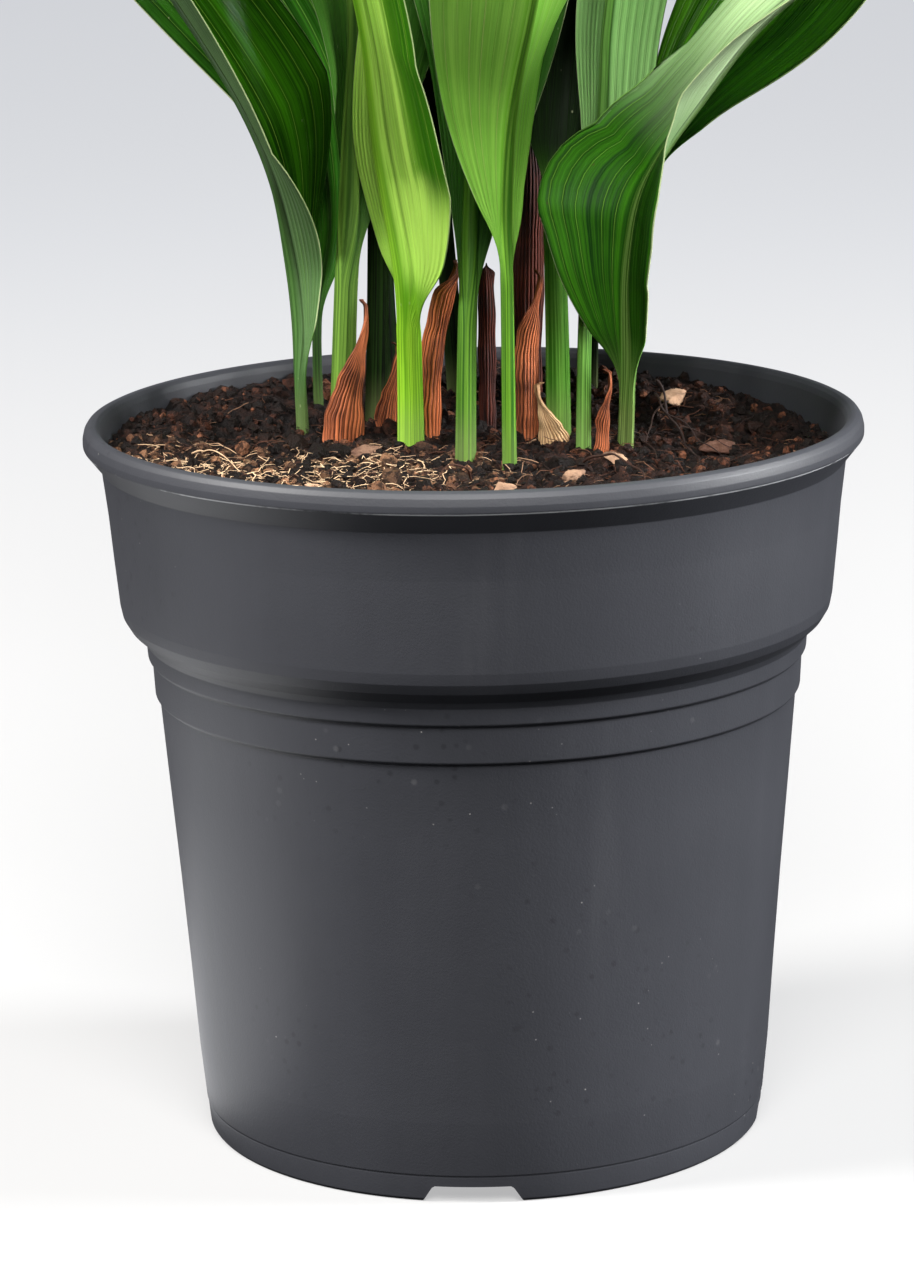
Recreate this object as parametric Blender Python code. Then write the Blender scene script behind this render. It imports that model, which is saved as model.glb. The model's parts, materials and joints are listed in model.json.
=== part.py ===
"""A potted cast iron plant: nursery pot, peat soil, creeping rootstock, fifteen leaves on their own
stalks, dry brown sheaths at the stalk feet and bark chips on the soil.
Built in metres with +Z up. The pot stands on z = 0 with its axis on the origin. The plan dimensions
below are in centimetres, because that is how the plant and pot were measured."""

import math

import bmesh
import bpy
import numpy as np
from mathutils import Matrix, Vector

# Driving dimensions, in centimetres and degrees
CM = 0.01
GAP = 0.035
SEED = 4107

# Pot: a turned thin wall with two small steps, a shoulder, a collar and a rolled lip
POT_SEGMENTS = 44
POT_TURN = -2.65
POT_OUTSIDE = (
    (8.65, 0.0), (8.73, 0.10), (8.83, 0.92), (9.00, 2.60), (9.19, 5.24), (9.42, 8.20),
    (9.70, 11.50), (9.90, 13.93), (10.03, 14.02), (10.09, 15.12), (10.22, 15.22), (10.26, 15.72),
    (10.40, 15.94), (10.77, 16.28), (10.96, 16.60), (11.03, 16.95), (11.17, 18.40), (11.29, 19.75),
    (11.46, 21.20), (12.00, 21.88), (12.00, 22.08), (11.95, 22.30), (11.86, 22.44), (11.74, 22.50),
    (11.60, 22.48), (11.49, 22.38), (11.43, 22.20),
)
POT_INSIDE = (
    (11.31, 21.20), (11.02, 18.40), (10.88, 16.98), (10.80, 16.68), (10.62, 16.42), (10.25, 16.08),
    (10.11, 15.75), (10.07, 15.28), (9.94, 15.10), (9.88, 14.10), (9.75, 13.90), (9.55, 11.50),
    (9.04, 5.24), (8.69, 1.00), (8.62, 0.88),
)
FLOOR_UNDER = 0.70
FOOT_INSIDE = 8.40
NOTCH_LOW, NOTCH_HIGH, NOTCH_RISE = 3.05, 2.40, 0.52
DRAIN_COUNT, DRAIN_RADIUS, DRAIN_RING = 8, 0.55, 6.6

# Soil: a plug that fills the pot to about a centimetre below the lip
SOIL_LEVEL = 20.95
SOIL_RINGS = (9.8, 8.0, 6.2, 4.3, 2.3)
SOIL_SKIPS = (16.68, 15.28, 14.10, 1.00)
LUMP_COUNT = 34

# Rootstock: creeping stems just under the stalk feet
ROOT_AXIS = 18.15
ROOT_RADIUS = 0.80
ROOT_BRANCHES = (
    ((-4.9, 7.0), (-5.2, 5.4), (-4.1, 4.2), (-1.9, 2.8), (-0.1, 0.0), (1.3, -0.4), (3.5, 1.9), (5.0, 2.9)),
    ((-3.9, 4.1), (-2.8, 7.3), (-0.4, 8.6)),
    ((3.3, 1.8), (1.5, 8.2)),
    ((4.9, 2.7), (3.8, 8.2)),
)

# Leaves. Each route is the line of the stalk and midrib. The face is the direction the upper side
# looks at the foot, the twist turns it about the midrib, and the fold lifts both halves into a V, which
# the splay opens again on the right half. A leaf that turns quickly has stations of its own there.
BLADE = 0.045
STALK_STATIONS = 4
BLADE_STATIONS = 10
ACROSS = (0.0, 1.0, 1.5, 2.0)
LEAVES = {
    "leaf_01": dict(
        route=((-5.3, 5.3, 19), (-5.4, 5.0, 22.7), (-5.65, 5.1, 26.3), (-6.4, 4.0, 30.2), (-8.9, 2.5, 35.1),
               (-15, -1, 44), (-23, -5, 50), (-31, -9, 49)),
        face=-2, neck=3.2, width=4.4, flare=5.1, stalk=0.33, fold=(38, 16), sides=(0.42, 0.82),
        twist=((0, 0), (0.15, 18), (0.25, -11), (0.36, -1), (0.7, 28), (1, 35))),
    "leaf_02": dict(
        route=((-4.9, 6.6, 19), (-5.0, 7.2, 22.6), (-4.95, 7.5, 24.5), (-4.5, 8.0, 27.5), (-5.4, 8.6, 32),
               (-10.5, 10, 38.5), (-16.5, 13.5, 43), (-23, 18, 44)),
        face=-90, neck=5.0, width=3.4, flare=7.0, stalk=0.17, fold=(45, 14)),
    "leaf_03": dict(
        route=((-4.22, 4.2, 19), (-4.0, 4.1, 24.1), (-3.68, 4.2, 30), (-3.45, 4.4, 35), (-5, 5.5, 45),
               (-10, 7, 56), (-18, 8, 62), (-26, 8, 60)),
        face=56, neck=7.2, width=4.2, flare=6.5, stalk=0.44, fold=(58, 12), sides=(0.8, 1.1),
        twist=((0, 0), (0.25, 11), (1, 0))),
    "leaf_04": dict(
        route=((-3.2, 5.6, 19), (-3.0, 5.8, 24.1), (-2.9, 6.2, 28), (-2.8, 6.9, 34), (-3, 8, 44),
               (-4.5, 9.5, 58), (-8, 11.5, 70), (-13, 13, 76)),
        face=-80, neck=18.0, width=4.2, flare=7, stalk=0.36, fold=(45, 12)),
    "leaf_05": dict(
        route=((-1.86, 3, 19), (-1.83, 2.8, 23), (-1.9, 2.2, 26), (-2.56, 1.6, 30.4), (-3.1, 0.5, 35.2),
               (-6, -4, 45), (-10, -11, 53), (-15, -19, 55)),
        face=26, neck=5.8, width=4.0, flare=2.8, stalk=0.58, fold=(5, 12), sides=(1, 0.38),
        twist=((0, 0), (0.22, -2), (0.32, -16), (1, 0)),
        splay=((0.08, 8), (0.14, 20), (0.24, 14), (0.32, 0))),
    "leaf_06": dict(
        route=((1.1, -0.6, 19), (1.1, -1.05, 24.3), (1.13, -1.5, 29.3), (1.3, -2.0, 31.8), (2.0, -4.1, 35.5),
               (3.7, -8.5, 45), (5.7, -17, 54), (7.5, -28, 57)),
        face=93, neck=7.9, width=4.6, flare=5, stalk=0.23, fold=(42, 12), sides=(1.26, 0.6),
        twist=((0, 0), (0.25, 35), (1, 0))),
    "leaf_07": dict(
        route=((-0.3, 0.2, 19), (-0.15, 0.5, 24.4), (0, 0.9, 28), (0.15, 1.3, 31), (0.25, 1.6, 36),
               (-0.3, 0.5, 50), (-2.5, -4, 64), (-6, -12, 73)),
        face=78, neck=6.5, width=4.4, flare=9.6, stalk=0.34, fold=(42, 12), twist=((0, 0), (0.25, -7), (1, 0))),
    "leaf_08": dict(
        route=((2.7, 3.6, 19), (2.7, 4.1, 23.7), (2.7, 5.1, 28), (3.0, 6.6, 31.8), (3.5, 8.0, 36),
               (5.5, 10, 48), (10, 11, 60), (17, 12, 67)),
        face=-95, neck=9.0, width=4.2, flare=8.0, stalk=0.40, fold=(8, 12)),
    "leaf_09": dict(
        route=((3.4, 1.9, 19), (3.5, 2.5, 24), (3.75, 3.3, 28), (4.15, 3.8, 30.7), (4.45, 4.0, 34.6),
               (7, 3.6, 46), (12, 1.5, 56), (20, -2, 60)),
        face=118, neck=6.5, width=3.6, flare=4, stalk=0.26, fold=(5, 12), sides=(0.58, 0.3),
        twist=((0, 0), (0.25, 8), (1, 0)),
        splay=((0.12, 0), (0.2, -95), (0.45, -80), (0.7, 0))),
    "leaf_10": dict(
        route=((4.65, 2.6, 19), (4.82, 2.0, 23), (4.88, 1.2, 26.9), (5.42, 0.6, 29.5), (7.1, 0.3, 32),
               (9.3, -0.4, 34.7), (16, -2.5, 39), (24, -5, 40), (31, -7, 37)),
        face=-130, neck=3.5, width=4.3, flare=5.7, stalk=0.30, fold=(45, 16), sides=(1, 0.7),
        twist=((0, 0), (0.18, 0), (0.226, -10), (0.262, -61), (0.298, -70), (0.38, -66), (0.48, -64), (1, -70)),
        splay=((0.1, 45), (0.13, 40), (0.145, 29), (0.17, 18), (0.19, 10), (0.226, 7), (0.262, 44), (0.29, 37),
               (0.34, 22), (0.5, 12)), extra=(9.5, 11.0)),
    "leaf_11": dict(
        route=((4.6, 6.4, 19), (5.1, 6.3, 24), (5.3, 6.0, 27.5), (7.0, 6.3, 31.3), (9.65, 6.7, 34.4),
               (15, 8, 41), (21, 11, 47), (27, 14, 49)),
        face=-160, neck=9.8, width=5.1, flare=5.6, stalk=0.31, fold=(10, 12), sides=(1, 1.4),
        twist=((0, 0), (0.25, 14), (1, 0))),
    "leaf_12": dict(
        route=((-2.6, 7.5, 19), (-2.7, 7.9, 24), (-3.2, 9.0, 31), (-5.9, 11.9, 42), (-11, 16.5, 55), (-17, 21.5, 62)),
        face=-58, neck=18.5, width=4.0, flare=7, stalk=0.30, fold=(40, 12)),
    "leaf_13": dict(
        route=((-0.4, 8.7, 19), (-0.8, 9.4, 26), (-1.5, 11, 34), (-3.2, 15.5, 48), (-4.6, 21.5, 61), (-5, 28, 68)),
        face=-112, neck=20.0, width=4.0, flare=7, stalk=0.32, fold=(12, 12)),
    "leaf_14": dict(
        route=((1.5, 8.4, 19), (1.5, 8.8, 26), (1.4, 10.1, 36), (1.0, 13, 50), (1.2, 16, 66),
               (2.2, 18.5, 79), (3.5, 20, 85)),
        face=-95, neck=21.0, width=4.2, flare=7, stalk=0.34, fold=(30, 12)),
    "leaf_15": dict(
        route=((3.7, 8.4, 19), (3.9, 8.9, 25), (4.7, 9.8, 32), (7.5, 12.5, 43), (12.5, 17, 53), (19, 22, 58),
               (25, 27, 57)),
        face=-125, neck=17.0, width=4.2, flare=7, stalk=0.32, fold=(42, 12)),
}

# Sheaths: foot, top, inner radius at the foot and near the top, facing of the open side, the open
# angle at the foot, the sideways bow of the middle, the share of the length where the point starts, and
# how far round the stalk the point leans
SHEATH_WALL = 0.09
SHEATHS = {
    "sheath_01": dict(foot=(-4.22, 4.12, 19.7), top=(-3.82, 3.6, 25.6), radius=(0.58, 0.50), open=100,
                      gap=190, bow=(0.0, -0.1), point=0.25, lean=75),
    "sheath_02": dict(foot=(-1.35, 3.9, 19.7), top=(-0.55, 3.4, 26.8), radius=(0.30, 0.25), open=140,
                      gap=90, bow=(-0.35, 0.0), point=0.82, lean=90),
    "sheath_03": dict(foot=(0.45, 5.8, 19.7), top=(0.50, 6.0, 26.3), radius=(0.19, 0.19), open=90,
                      gap=90, bow=(0.0, 0.0), point=0.88, lean=0),
    "sheath_04": dict(foot=(1.62, 4.4, 19.7), top=(1.80, 3.9, 26.4), radius=(0.36, 0.32), open=120,
                      gap=150, bow=(-0.05, 0.0), point=0.55, lean=60),
    "sheath_05": dict(foot=(1.66, 8.45, 19.7), top=(2.10, 8.6, 31.6), radius=(0.46, 0.44), open=90,
                      gap=200, bow=(0.0, 0.0), point=0.70, lean=-15),
    "sheath_06": dict(foot=(-2.76, 4.9, 19.7), top=(-2.66, 4.8, 24.0), radius=(0.28, 0.28), open=120,
                      gap=150, bow=(0.0, 0.0), point=0.35, lean=60),
    "sheath_07": dict(foot=(2.7, 3.6, 19.7), top=(2.62, 3.35, 22.9), radius=(0.50, 0.54), open=75,
                      gap=170, bow=(0.0, 0.0), point=0.15, lean=-70),
    "sheath_08": dict(foot=(3.80, 1.75, 19.7), top=(4.05, 1.60, 23.6), radius=(0.24, 0.22), open=157,
                      gap=170, bow=(0.0, 0.0), point=0.5, lean=30),
}

# Bark chips: place on the soil, length, width and thickness
CHIPS = (
    ((6.5, 6.6), (1.9, 1.1, 0.6)), ((-3.3, 1.6), (1.2, 0.8, 0.5)), ((4.3, -0.4), (1.0, 0.8, 0.6)),
    ((3.1, -2.6), (1.1, 0.8, 0.5)), ((0.9, -4.6), (0.9, 0.6, 0.5)), ((7.6, 1.6), (1.4, 1.2, 0.6)),
)

COLOURS = {
    "pot": ((0.050, 0.052, 0.058), 0.5),
    "soil": ((0.030, 0.017, 0.011), 0.95),
    "root": ((0.33, 0.24, 0.13), 0.7),
    "leaf": ((0.045, 0.17, 0.018), 0.35),
    "sheath": ((0.20, 0.075, 0.03), 0.75),
    "bark": ((0.24, 0.12, 0.06), 0.9),
}


# Small helpers

def ease(x):
    x = min(max(x, 0.0), 1.0)
    return x * x * (3 - 2 * x)


def painted(obj, kind):
    colour, rough = COLOURS[kind]
    material = bpy.data.materials.get(kind + "_material")
    if material is None:
        material = bpy.data.materials.new(kind + "_material")
        material.use_nodes = True
        shader = material.node_tree.nodes["Principled BSDF"]
        shader.inputs["Base Color"].default_value = (*colour, 1.0)
        shader.inputs["Roughness"].default_value = rough
        shader.inputs["Metallic"].default_value = 0.0
    obj.data.materials.clear()
    obj.data.materials.append(material)
    return obj


def body(name, points, faces, smooth=True):
    """A closed mesh object from points in centimetres, with every face turned outward."""
    mesh = bpy.data.meshes.new(name)
    mesh.from_pydata([tuple(float(v) * CM for v in p) for p in points], [], faces)
    bm = bmesh.new()
    bm.from_mesh(mesh)
    bmesh.ops.recalc_face_normals(bm, faces=bm.faces)
    for face in bm.faces:
        face.smooth = smooth
    bm.to_mesh(mesh)
    bm.free()
    obj = bpy.data.objects.new(name, mesh)
    bpy.context.scene.collection.objects.link(obj)
    return obj


def cut_or_join(obj, others, operation):
    """Applies one exact Boolean with several helpers and removes them."""
    group = bpy.data.collections.new("helpers")
    bpy.context.scene.collection.children.link(group)
    for other in others:
        bpy.context.scene.collection.objects.unlink(other)
        group.objects.link(other)
    step = obj.modifiers.new("join", "BOOLEAN")
    step.operation = operation
    step.operand_type = "COLLECTION"
    step.collection = group
    step.solver = "EXACT"
    bpy.context.view_layer.update()
    graph = bpy.context.evaluated_depsgraph_get()
    mesh = bpy.data.meshes.new_from_object(obj.evaluated_get(graph))
    obj.modifiers.clear()
    obj.data = mesh
    for other in list(group.objects):
        bpy.data.objects.remove(other, do_unlink=True)
    bpy.data.collections.remove(group)
    return obj


def smooth_route(points, per_span=24):
    """A smooth line through the points and the distance along it."""
    p = np.array(points, float)
    p = np.vstack([2 * p[0] - p[1], p, 2 * p[-1] - p[-2]])
    out = []
    for a, b, c, d in zip(p, p[1:], p[2:], p[3:]):
        ta = np.linalg.norm(b - a) ** 0.5
        tb = np.linalg.norm(c - b) ** 0.5
        tc = np.linalg.norm(d - c) ** 0.5
        start = (c - b) + tb * ((b - a) / ta - (c - a) / (ta + tb))
        end = (c - b) + tb * ((d - c) / tc - (d - b) / (tb + tc))
        for k in range(per_span):
            t = k / per_span
            out.append((2 * t ** 3 - 3 * t ** 2 + 1) * b + (t ** 3 - 2 * t ** 2 + t) * start
                       + (3 * t ** 2 - 2 * t ** 3) * c + (t ** 3 - t ** 2) * end)
    out.append(p[-2])
    out = np.array(out)
    along = np.concatenate([[0], np.cumsum(np.linalg.norm(np.diff(out, axis=0), axis=1))])
    return out, along


def tube(name, points, radii, sides=10):
    """A closed tube of round rings square to the line."""
    points = np.array(points, float)
    tangents = np.gradient(points, axis=0)
    tangents /= np.linalg.norm(tangents, axis=1)[:, None]
    side = np.cross(tangents[0], (0.31, 0.95, 0.11))
    verts = []
    for at, along, radius in zip(points, tangents, radii):
        side = side - along * np.dot(side, along)
        side /= np.linalg.norm(side)
        other = np.cross(along, side)
        for k in range(sides):
            angle = 2 * math.pi * k / sides
            verts.append(at + radius * (math.cos(angle) * side + math.sin(angle) * other))
    faces = []
    for i in range(len(points) - 1):
        for k in range(sides):
            j = (k + 1) % sides
            faces.append((i * sides + k, i * sides + j, (i + 1) * sides + j, (i + 1) * sides + k))
    faces.append(tuple(range(sides))[::-1])
    faces.append(tuple((len(points) - 1) * sides + k for k in range(sides)))
    return body(name, verts, faces)


# Pot

def turned(name, profile, segments):
    """Spins a line that starts and ends on the axis into a closed body."""
    bm = bmesh.new()
    row = [bm.verts.new((r * CM, 0.0, z * CM)) for r, z in profile]
    edges = [bm.edges.new(pair) for pair in zip(row, row[1:])]
    bmesh.ops.spin(bm, geom=row + edges, cent=(0, 0, 0), axis=(0, 0, 1), angle=2 * math.pi,
                   steps=segments, use_merge=True, use_duplicate=False)
    bmesh.ops.remove_doubles(bm, verts=bm.verts, dist=1e-6)
    bmesh.ops.recalc_face_normals(bm, faces=bm.faces)
    bmesh.ops.rotate(bm, verts=bm.verts, cent=(0, 0, 0), matrix=Matrix.Rotation(math.radians(POT_TURN), 3, "Z"))
    for face in bm.faces:
        face.smooth = True
    mesh = bpy.data.meshes.new(name)
    bm.to_mesh(mesh)
    bm.free()
    obj = bpy.data.objects.new(name, mesh)
    bpy.context.scene.collection.objects.link(obj)
    return obj


def pot():
    profile = ([(0, FLOOR_UNDER), (FOOT_INSIDE - 0.12, FLOOR_UNDER), (FOOT_INSIDE, 0)]
               + list(POT_OUTSIDE) + list(POT_INSIDE) + [(0, POT_INSIDE[-1][1])])
    obj = turned("pot", profile, POT_SEGMENTS)
    cutters = []
    for k in range(4):
        turn = Matrix.Rotation(math.radians(POT_TURN - 90 + 90 * k), 4, "Z")
        points = []
        for r in (7.9, 9.3):
            for y, z in ((-NOTCH_LOW / 2 - 0.25, -0.4), (NOTCH_LOW / 2 + 0.25, -0.4),
                         (NOTCH_HIGH / 2 + 0.08, NOTCH_RISE - 0.12), (NOTCH_HIGH / 2 - 0.05, NOTCH_RISE),
                         (0.05 - NOTCH_HIGH / 2, NOTCH_RISE), (-0.08 - NOTCH_HIGH / 2, NOTCH_RISE - 0.12)):
                points.append(turn @ Vector((r, y, z)))
        faces = [(0, 1, 2, 3, 4, 5), (11, 10, 9, 8, 7, 6)]
        faces += [(k0, k0 + 6, (k0 + 1) % 6 + 6, (k0 + 1) % 6) for k0 in range(6)]
        cutters.append(body("notch", points, faces, smooth=False))
    for k in range(DRAIN_COUNT):
        angle = math.radians(POT_TURN + 22.5 + 360 * k / DRAIN_COUNT)
        at = (DRAIN_RING * math.cos(angle), DRAIN_RING * math.sin(angle))
        cutters.append(tube("drain", [(*at, 0.3), (*at, 1.3)], (DRAIN_RADIUS, DRAIN_RADIUS), 10))
    return painted(cut_or_join(obj, cutters, "DIFFERENCE"), "pot")


# Soil

def lumps():
    rng = np.random.default_rng(SEED)
    spread = []
    for _ in range(LUMP_COUNT):
        r = 10.6 * math.sqrt(rng.uniform(0.02, 1))
        a = rng.uniform(0, 2 * math.pi)
        spread.append((r * math.cos(a), r * math.sin(a), rng.uniform(0.8, 2.0), rng.uniform(-0.22, 0.38)))
    return spread


LUMPS = lumps()


def soil_height(x, y):
    r = math.hypot(x, y)
    heaped = 0.80 + 0.25 * ease(y / 8) - 0.45 * ease((x - 5) / 5)
    z = SOIL_LEVEL + heaped * ease((r - 6.8) / 4)
    for cx, cy, size, high in LUMPS:
        z += high * math.exp(-((x - cx) ** 2 + (y - cy) ** 2) / size ** 2)
    return min(z, 22.05)


def soil():
    """The plug follows the inside of the pot, and its top is rough."""
    wall = [(r - GAP, z) for r, z in POT_INSIDE[1:] if z not in SOIL_SKIPS]
    wall[-1] = (POT_INSIDE[-1][0] - GAP - 0.02, POT_INSIDE[-1][1] + GAP)
    turn = math.radians(POT_TURN)
    verts = []
    edge = POT_INSIDE[0][0] - GAP + 0.0
    for k in range(POT_SEGMENTS):
        a = turn + 2 * math.pi * k / POT_SEGMENTS
        x, y = math.cos(a), math.sin(a)
        verts += [(r * x, r * y, z) for r, z in reversed(wall)]
        z = soil_height(edge * x, edge * y)
        top = edge - (POT_INSIDE[0][1] - z) * 0.104 if z < POT_INSIDE[0][1] else edge
        verts.append((top * x, top * y, z))
        for r in SOIL_RINGS:
            verts.append((r * x, r * y, soil_height(r * x, r * y)))
    per = len(wall) + 1 + len(SOIL_RINGS)
    low = len(verts)
    verts.append((0, 0, wall[-1][1]))
    verts.append((0, 0, soil_height(0, 0)))
    faces = []
    for k in range(POT_SEGMENTS):
        a, b = k * per, (k + 1) % POT_SEGMENTS * per
        faces.append((low, b, a))
        for i in range(per - 1):
            faces.append((a + i, b + i, b + i + 1, a + i + 1))
        faces.append((a + per - 1, b + per - 1, low + 1))
    obj = body("soil", verts, faces)
    bm = bmesh.new()
    bm.from_mesh(obj.data)
    bmesh.ops.triangulate(bm, faces=bm.faces)
    bm.to_mesh(obj.data)
    bm.free()
    return obj


# Rootstock

def rootstock(name, extra):
    """The creeping stems as short knobbly lengths with round ends, joined into one."""
    lengths = []
    for line in ROOT_BRANCHES:
        for a, b in zip(line, line[1:]):
            number = len(lengths)
            radius = ROOT_RADIUS + extra - 0.02 * (number % 3)
            a, b = (np.array([*p, ROOT_AXIS - 0.013 * number]) for p in (a, b))
            way = (b - a) / np.linalg.norm(b - a)
            points = (a - way * radius * 0.7, a - way * radius * 0.2, b + way * radius * 0.2, b + way * radius * 0.7)
            radii = (radius * 0.6, radius, radius, radius * 0.6)
            lengths.append(tube(name if number == 0 else "length", points, radii, 8))
    return cut_or_join(lengths[0], lengths[1:], "UNION")


# Leaves

class Leaf:
    """One leaf: a stalk that opens into a folded blade along a smooth route."""

    def __init__(self, route, face, neck, width, flare, stalk, fold, twist=((0, 0), (1, 0)), sides=(1, 1),
                 splay=((0, 0), (1, 0)), extra=()):
        self.neck, self.width, self.flare, self.stalk = neck, width, flare, stalk
        self.fold, self.twist, self.sides, self.splay, self.extra = fold, twist, sides, splay, extra
        self.points, self.along = smooth_route(route)
        self.length = self.along[-1]
        tangents = np.gradient(self.points, self.along, axis=0)
        self.tangents = tangents / np.linalg.norm(tangents, axis=1)[:, None]
        up = np.array([math.cos(math.radians(face)), math.sin(math.radians(face)), 0.0])
        ups = []
        for tangent in self.tangents:
            up = up - tangent * np.dot(up, tangent)
            up /= np.linalg.norm(up)
            ups.append(up)
        self.ups = np.array(ups)

    def frame(self, s):
        at, t, n = (np.array([np.interp(s, self.along, v[:, k]) for k in range(3)])
                    for v in (self.points, self.tangents, self.ups))
        t /= np.linalg.norm(t)
        n -= t * np.dot(n, t)
        n /= np.linalg.norm(n)
        turn = math.radians(np.interp(s / self.length, [f for f, _ in self.twist], [d for _, d in self.twist]))
        n = math.cos(turn) * n + math.sin(turn) * np.cross(t, n)
        return at, n, np.cross(t, n)

    def radius(self, s):
        """Half the thickness of the stalk, or of the midrib further up."""
        if s < self.neck:
            return self.stalk * (1 - 0.12 * ease(s / self.neck))
        f = (s - self.neck) / (self.length - self.neck)
        return max(0.07, self.stalk * 0.88 * (1 - 0.8 * min(1, f / 0.9) ** 0.6))

    def section(self, s):
        """Points of the upper and the lower side, from the left margin to the right one."""
        at, n, r = self.frame(s)
        d = max(0.0, s - self.neck)
        f = min(1.0, d / (self.length - self.neck))
        blade = self.width * (1 - math.exp(-(d / self.flare) ** 1.5)) * (1 - f ** 2.6) ** 0.85
        open_ = ease((s - self.neck + 0.5) / 3.0)
        a = self.radius(s)
        fold = math.radians(self.fold[0] + (self.fold[1] - self.fold[0]) * ease(f / 0.45)) * open_
        opened = math.radians(np.interp(s / self.length, *zip(*self.splay))) * open_
        rows = []
        for side, scale, fold in ((-1, self.sides[0], fold), (1, self.sides[1], fold - opened)):
            scale = 1 + (scale - 1) * (1 - ease(f / 0.6))
            half = a + max(0.03, blade * scale)
            half_row = []
            for q in ACROSS:
                flat = a * q if q <= 1 else a + (half - a) * (q - 1)
                x = a * math.sin(q * math.pi / 4) * (1 - open_) + flat * open_
                out = math.cos(fold) * side * r + math.sin(fold) * n
                lift = -math.sin(fold) * side * r + math.cos(fold) * n
                round_ = math.sqrt(max(0.0, 1 - (x / a) ** 2))
                deep = max(BLADE, a * round_)
                high = BLADE * open_ + (1 - open_) * max(BLADE, 0.35 * a * round_)
                half_row.append((at + out * x + lift * high, at + out * x - lift * deep))
            rows.append(half_row)
        line = rows[0][:0:-1] + rows[1]
        return [p[0] for p in line], [p[1] for p in line]

    def stations(self):
        low = [self.neck * k / STALK_STATIONS for k in range(STALK_STATIONS)]
        rest = self.length - self.neck
        steps = [k / BLADE_STATIONS for k in range(1, BLADE_STATIONS + 1)]
        blade = [self.neck + rest * u * (1.25 - 0.25 * u) * 0.995 for u in steps]
        return sorted([*low, self.neck - 0.4, *blade, *self.extra])


def leaf(name, spec):
    grown = Leaf(**spec)
    verts = []
    count = 2 * len(ACROSS) - 1
    for s in grown.stations():
        top, under = grown.section(s)
        verts += top + under
    faces = []
    per = 2 * count
    last = len(verts) - per
    for a in range(0, last, per):
        for k in range(count - 1):
            for row, flip in ((0, False), (count, True)):
                i, j = a + row + k, a + row + k + 1
                pair = [(i, j, j + per), (i, j + per, i + per)]
                faces += [face[::-1] for face in pair] if flip else pair
        for k, flip in ((0, True), (count - 1, False)):
            i, j = a + k, a + k + count
            pair = [(i, j, j + per), (i, j + per, i + per)]
            faces += [face[::-1] for face in pair] if flip else pair
    for a in (0, last):
        for k in range(count - 1):
            faces.append((a + k, a + k + 1, a + k + 1 + count))
            faces.append((a + k, a + k + 1 + count, a + k + count))
    return painted(body(name, verts, faces), "leaf")


def stalk_hole(spec):
    """A round cutter a little wider than the stalk, from the rootstock to above the soil."""
    grown = Leaf(**spec)
    points, radii = [], []
    for s in (-0.9, 0.0, 1.8, 4.4):
        at, _, _ = grown.frame(max(s, 0.0))
        if s < 0:
            at = at + np.array([0, 0, s])
        points.append(at)
        radii.append((grown.stalk + 0.045) / math.cos(math.pi / 10))
    return tube("stalk_hole", points, radii, 10)


# Sheaths

def sheath(name, spec, extra=0.0):
    """A dry leaf base: a rolled strip, open on one side, that narrows to a point."""
    foot, top = np.array(spec["foot"]), np.array(spec["top"])
    across, rows = 6, 7
    facing = math.radians(spec["open"])
    verts = []
    for i in range(rows):
        u = i / (rows - 1)
        at = foot + (top - foot) * u + np.array([*spec["bow"], 0]) * math.sin(math.pi * u)
        at[2] += extra * ((i == rows - 1) - (i == 0))
        radius = spec["radius"][0] + (spec["radius"][1] - spec["radius"][0]) * u
        keep = 1 - 0.93 * ease((u - spec["point"]) / (1 - spec["point"])) ** 1.2
        half = math.radians(180 - spec["gap"] / 2) * keep + extra / radius
        lean = math.radians(spec["lean"]) * (1 - keep)
        for wall in (radius - extra, radius + SHEATH_WALL + extra):
            for k in range(across):
                angle = facing + math.pi + lean + half * (2 * k / (across - 1) - 1)
                verts.append(at + wall * np.array([math.cos(angle), math.sin(angle), 0]))
    per = 2 * across
    faces = []
    for i in range(rows - 1):
        a = i * per
        for k in range(across - 1):
            faces.append((a + k, a + k + 1, a + k + 1 + per, a + k + per))
            faces.append((a + across + k + 1, a + across + k, a + across + k + per, a + across + k + 1 + per))
        faces.append((a + across, a, a + per, a + across + per))
        faces.append((a + across - 1, a + per - 1, a + 2 * per - 1, a + across - 1 + per))
    for a, flip in ((0, False), ((rows - 1) * per, True)):
        for k in range(across - 1):
            face = (a + k, a + k + across, a + k + 1 + across, a + k + 1)
            faces.append(face[::-1] if flip else face)
    obj = body(name, verts, faces)
    bm = bmesh.new()
    bm.from_mesh(obj.data)
    bmesh.ops.triangulate(bm, faces=bm.faces)
    bm.to_mesh(obj.data)
    bm.free()
    return painted(obj, "sheath")


# Bark chips

def chip(name, place, size, number, extra=0.0):
    """A rough chip: the hull of a few seeded points, laid on the soil."""
    rng = np.random.default_rng(SEED + 10 + number)
    turn = rng.uniform(0, math.pi)
    x, y = place
    z = soil_height(x, y) + 0.12 * size[2]
    bm = bmesh.new()
    for _ in range(14):
        v = rng.normal(size=3)
        v /= np.linalg.norm(v)
        half = np.array(size) / 2 + extra
        p = v * half * rng.uniform(0.86, 1.0)
        bm.verts.new(((x + p[0] * math.cos(turn) - p[1] * math.sin(turn)) * CM,
                      (y + p[0] * math.sin(turn) + p[1] * math.cos(turn)) * CM, (z + p[2]) * CM))
    bmesh.ops.convex_hull(bm, input=bm.verts)
    bmesh.ops.delete(bm, geom=[v for v in bm.verts if not v.link_faces], context="VERTS")
    bmesh.ops.recalc_face_normals(bm, faces=bm.faces)
    mesh = bpy.data.meshes.new(name)
    bm.to_mesh(mesh)
    bm.free()
    obj = bpy.data.objects.new(name, mesh)
    bpy.context.scene.collection.objects.link(obj)
    return painted(obj, "bark")


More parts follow.
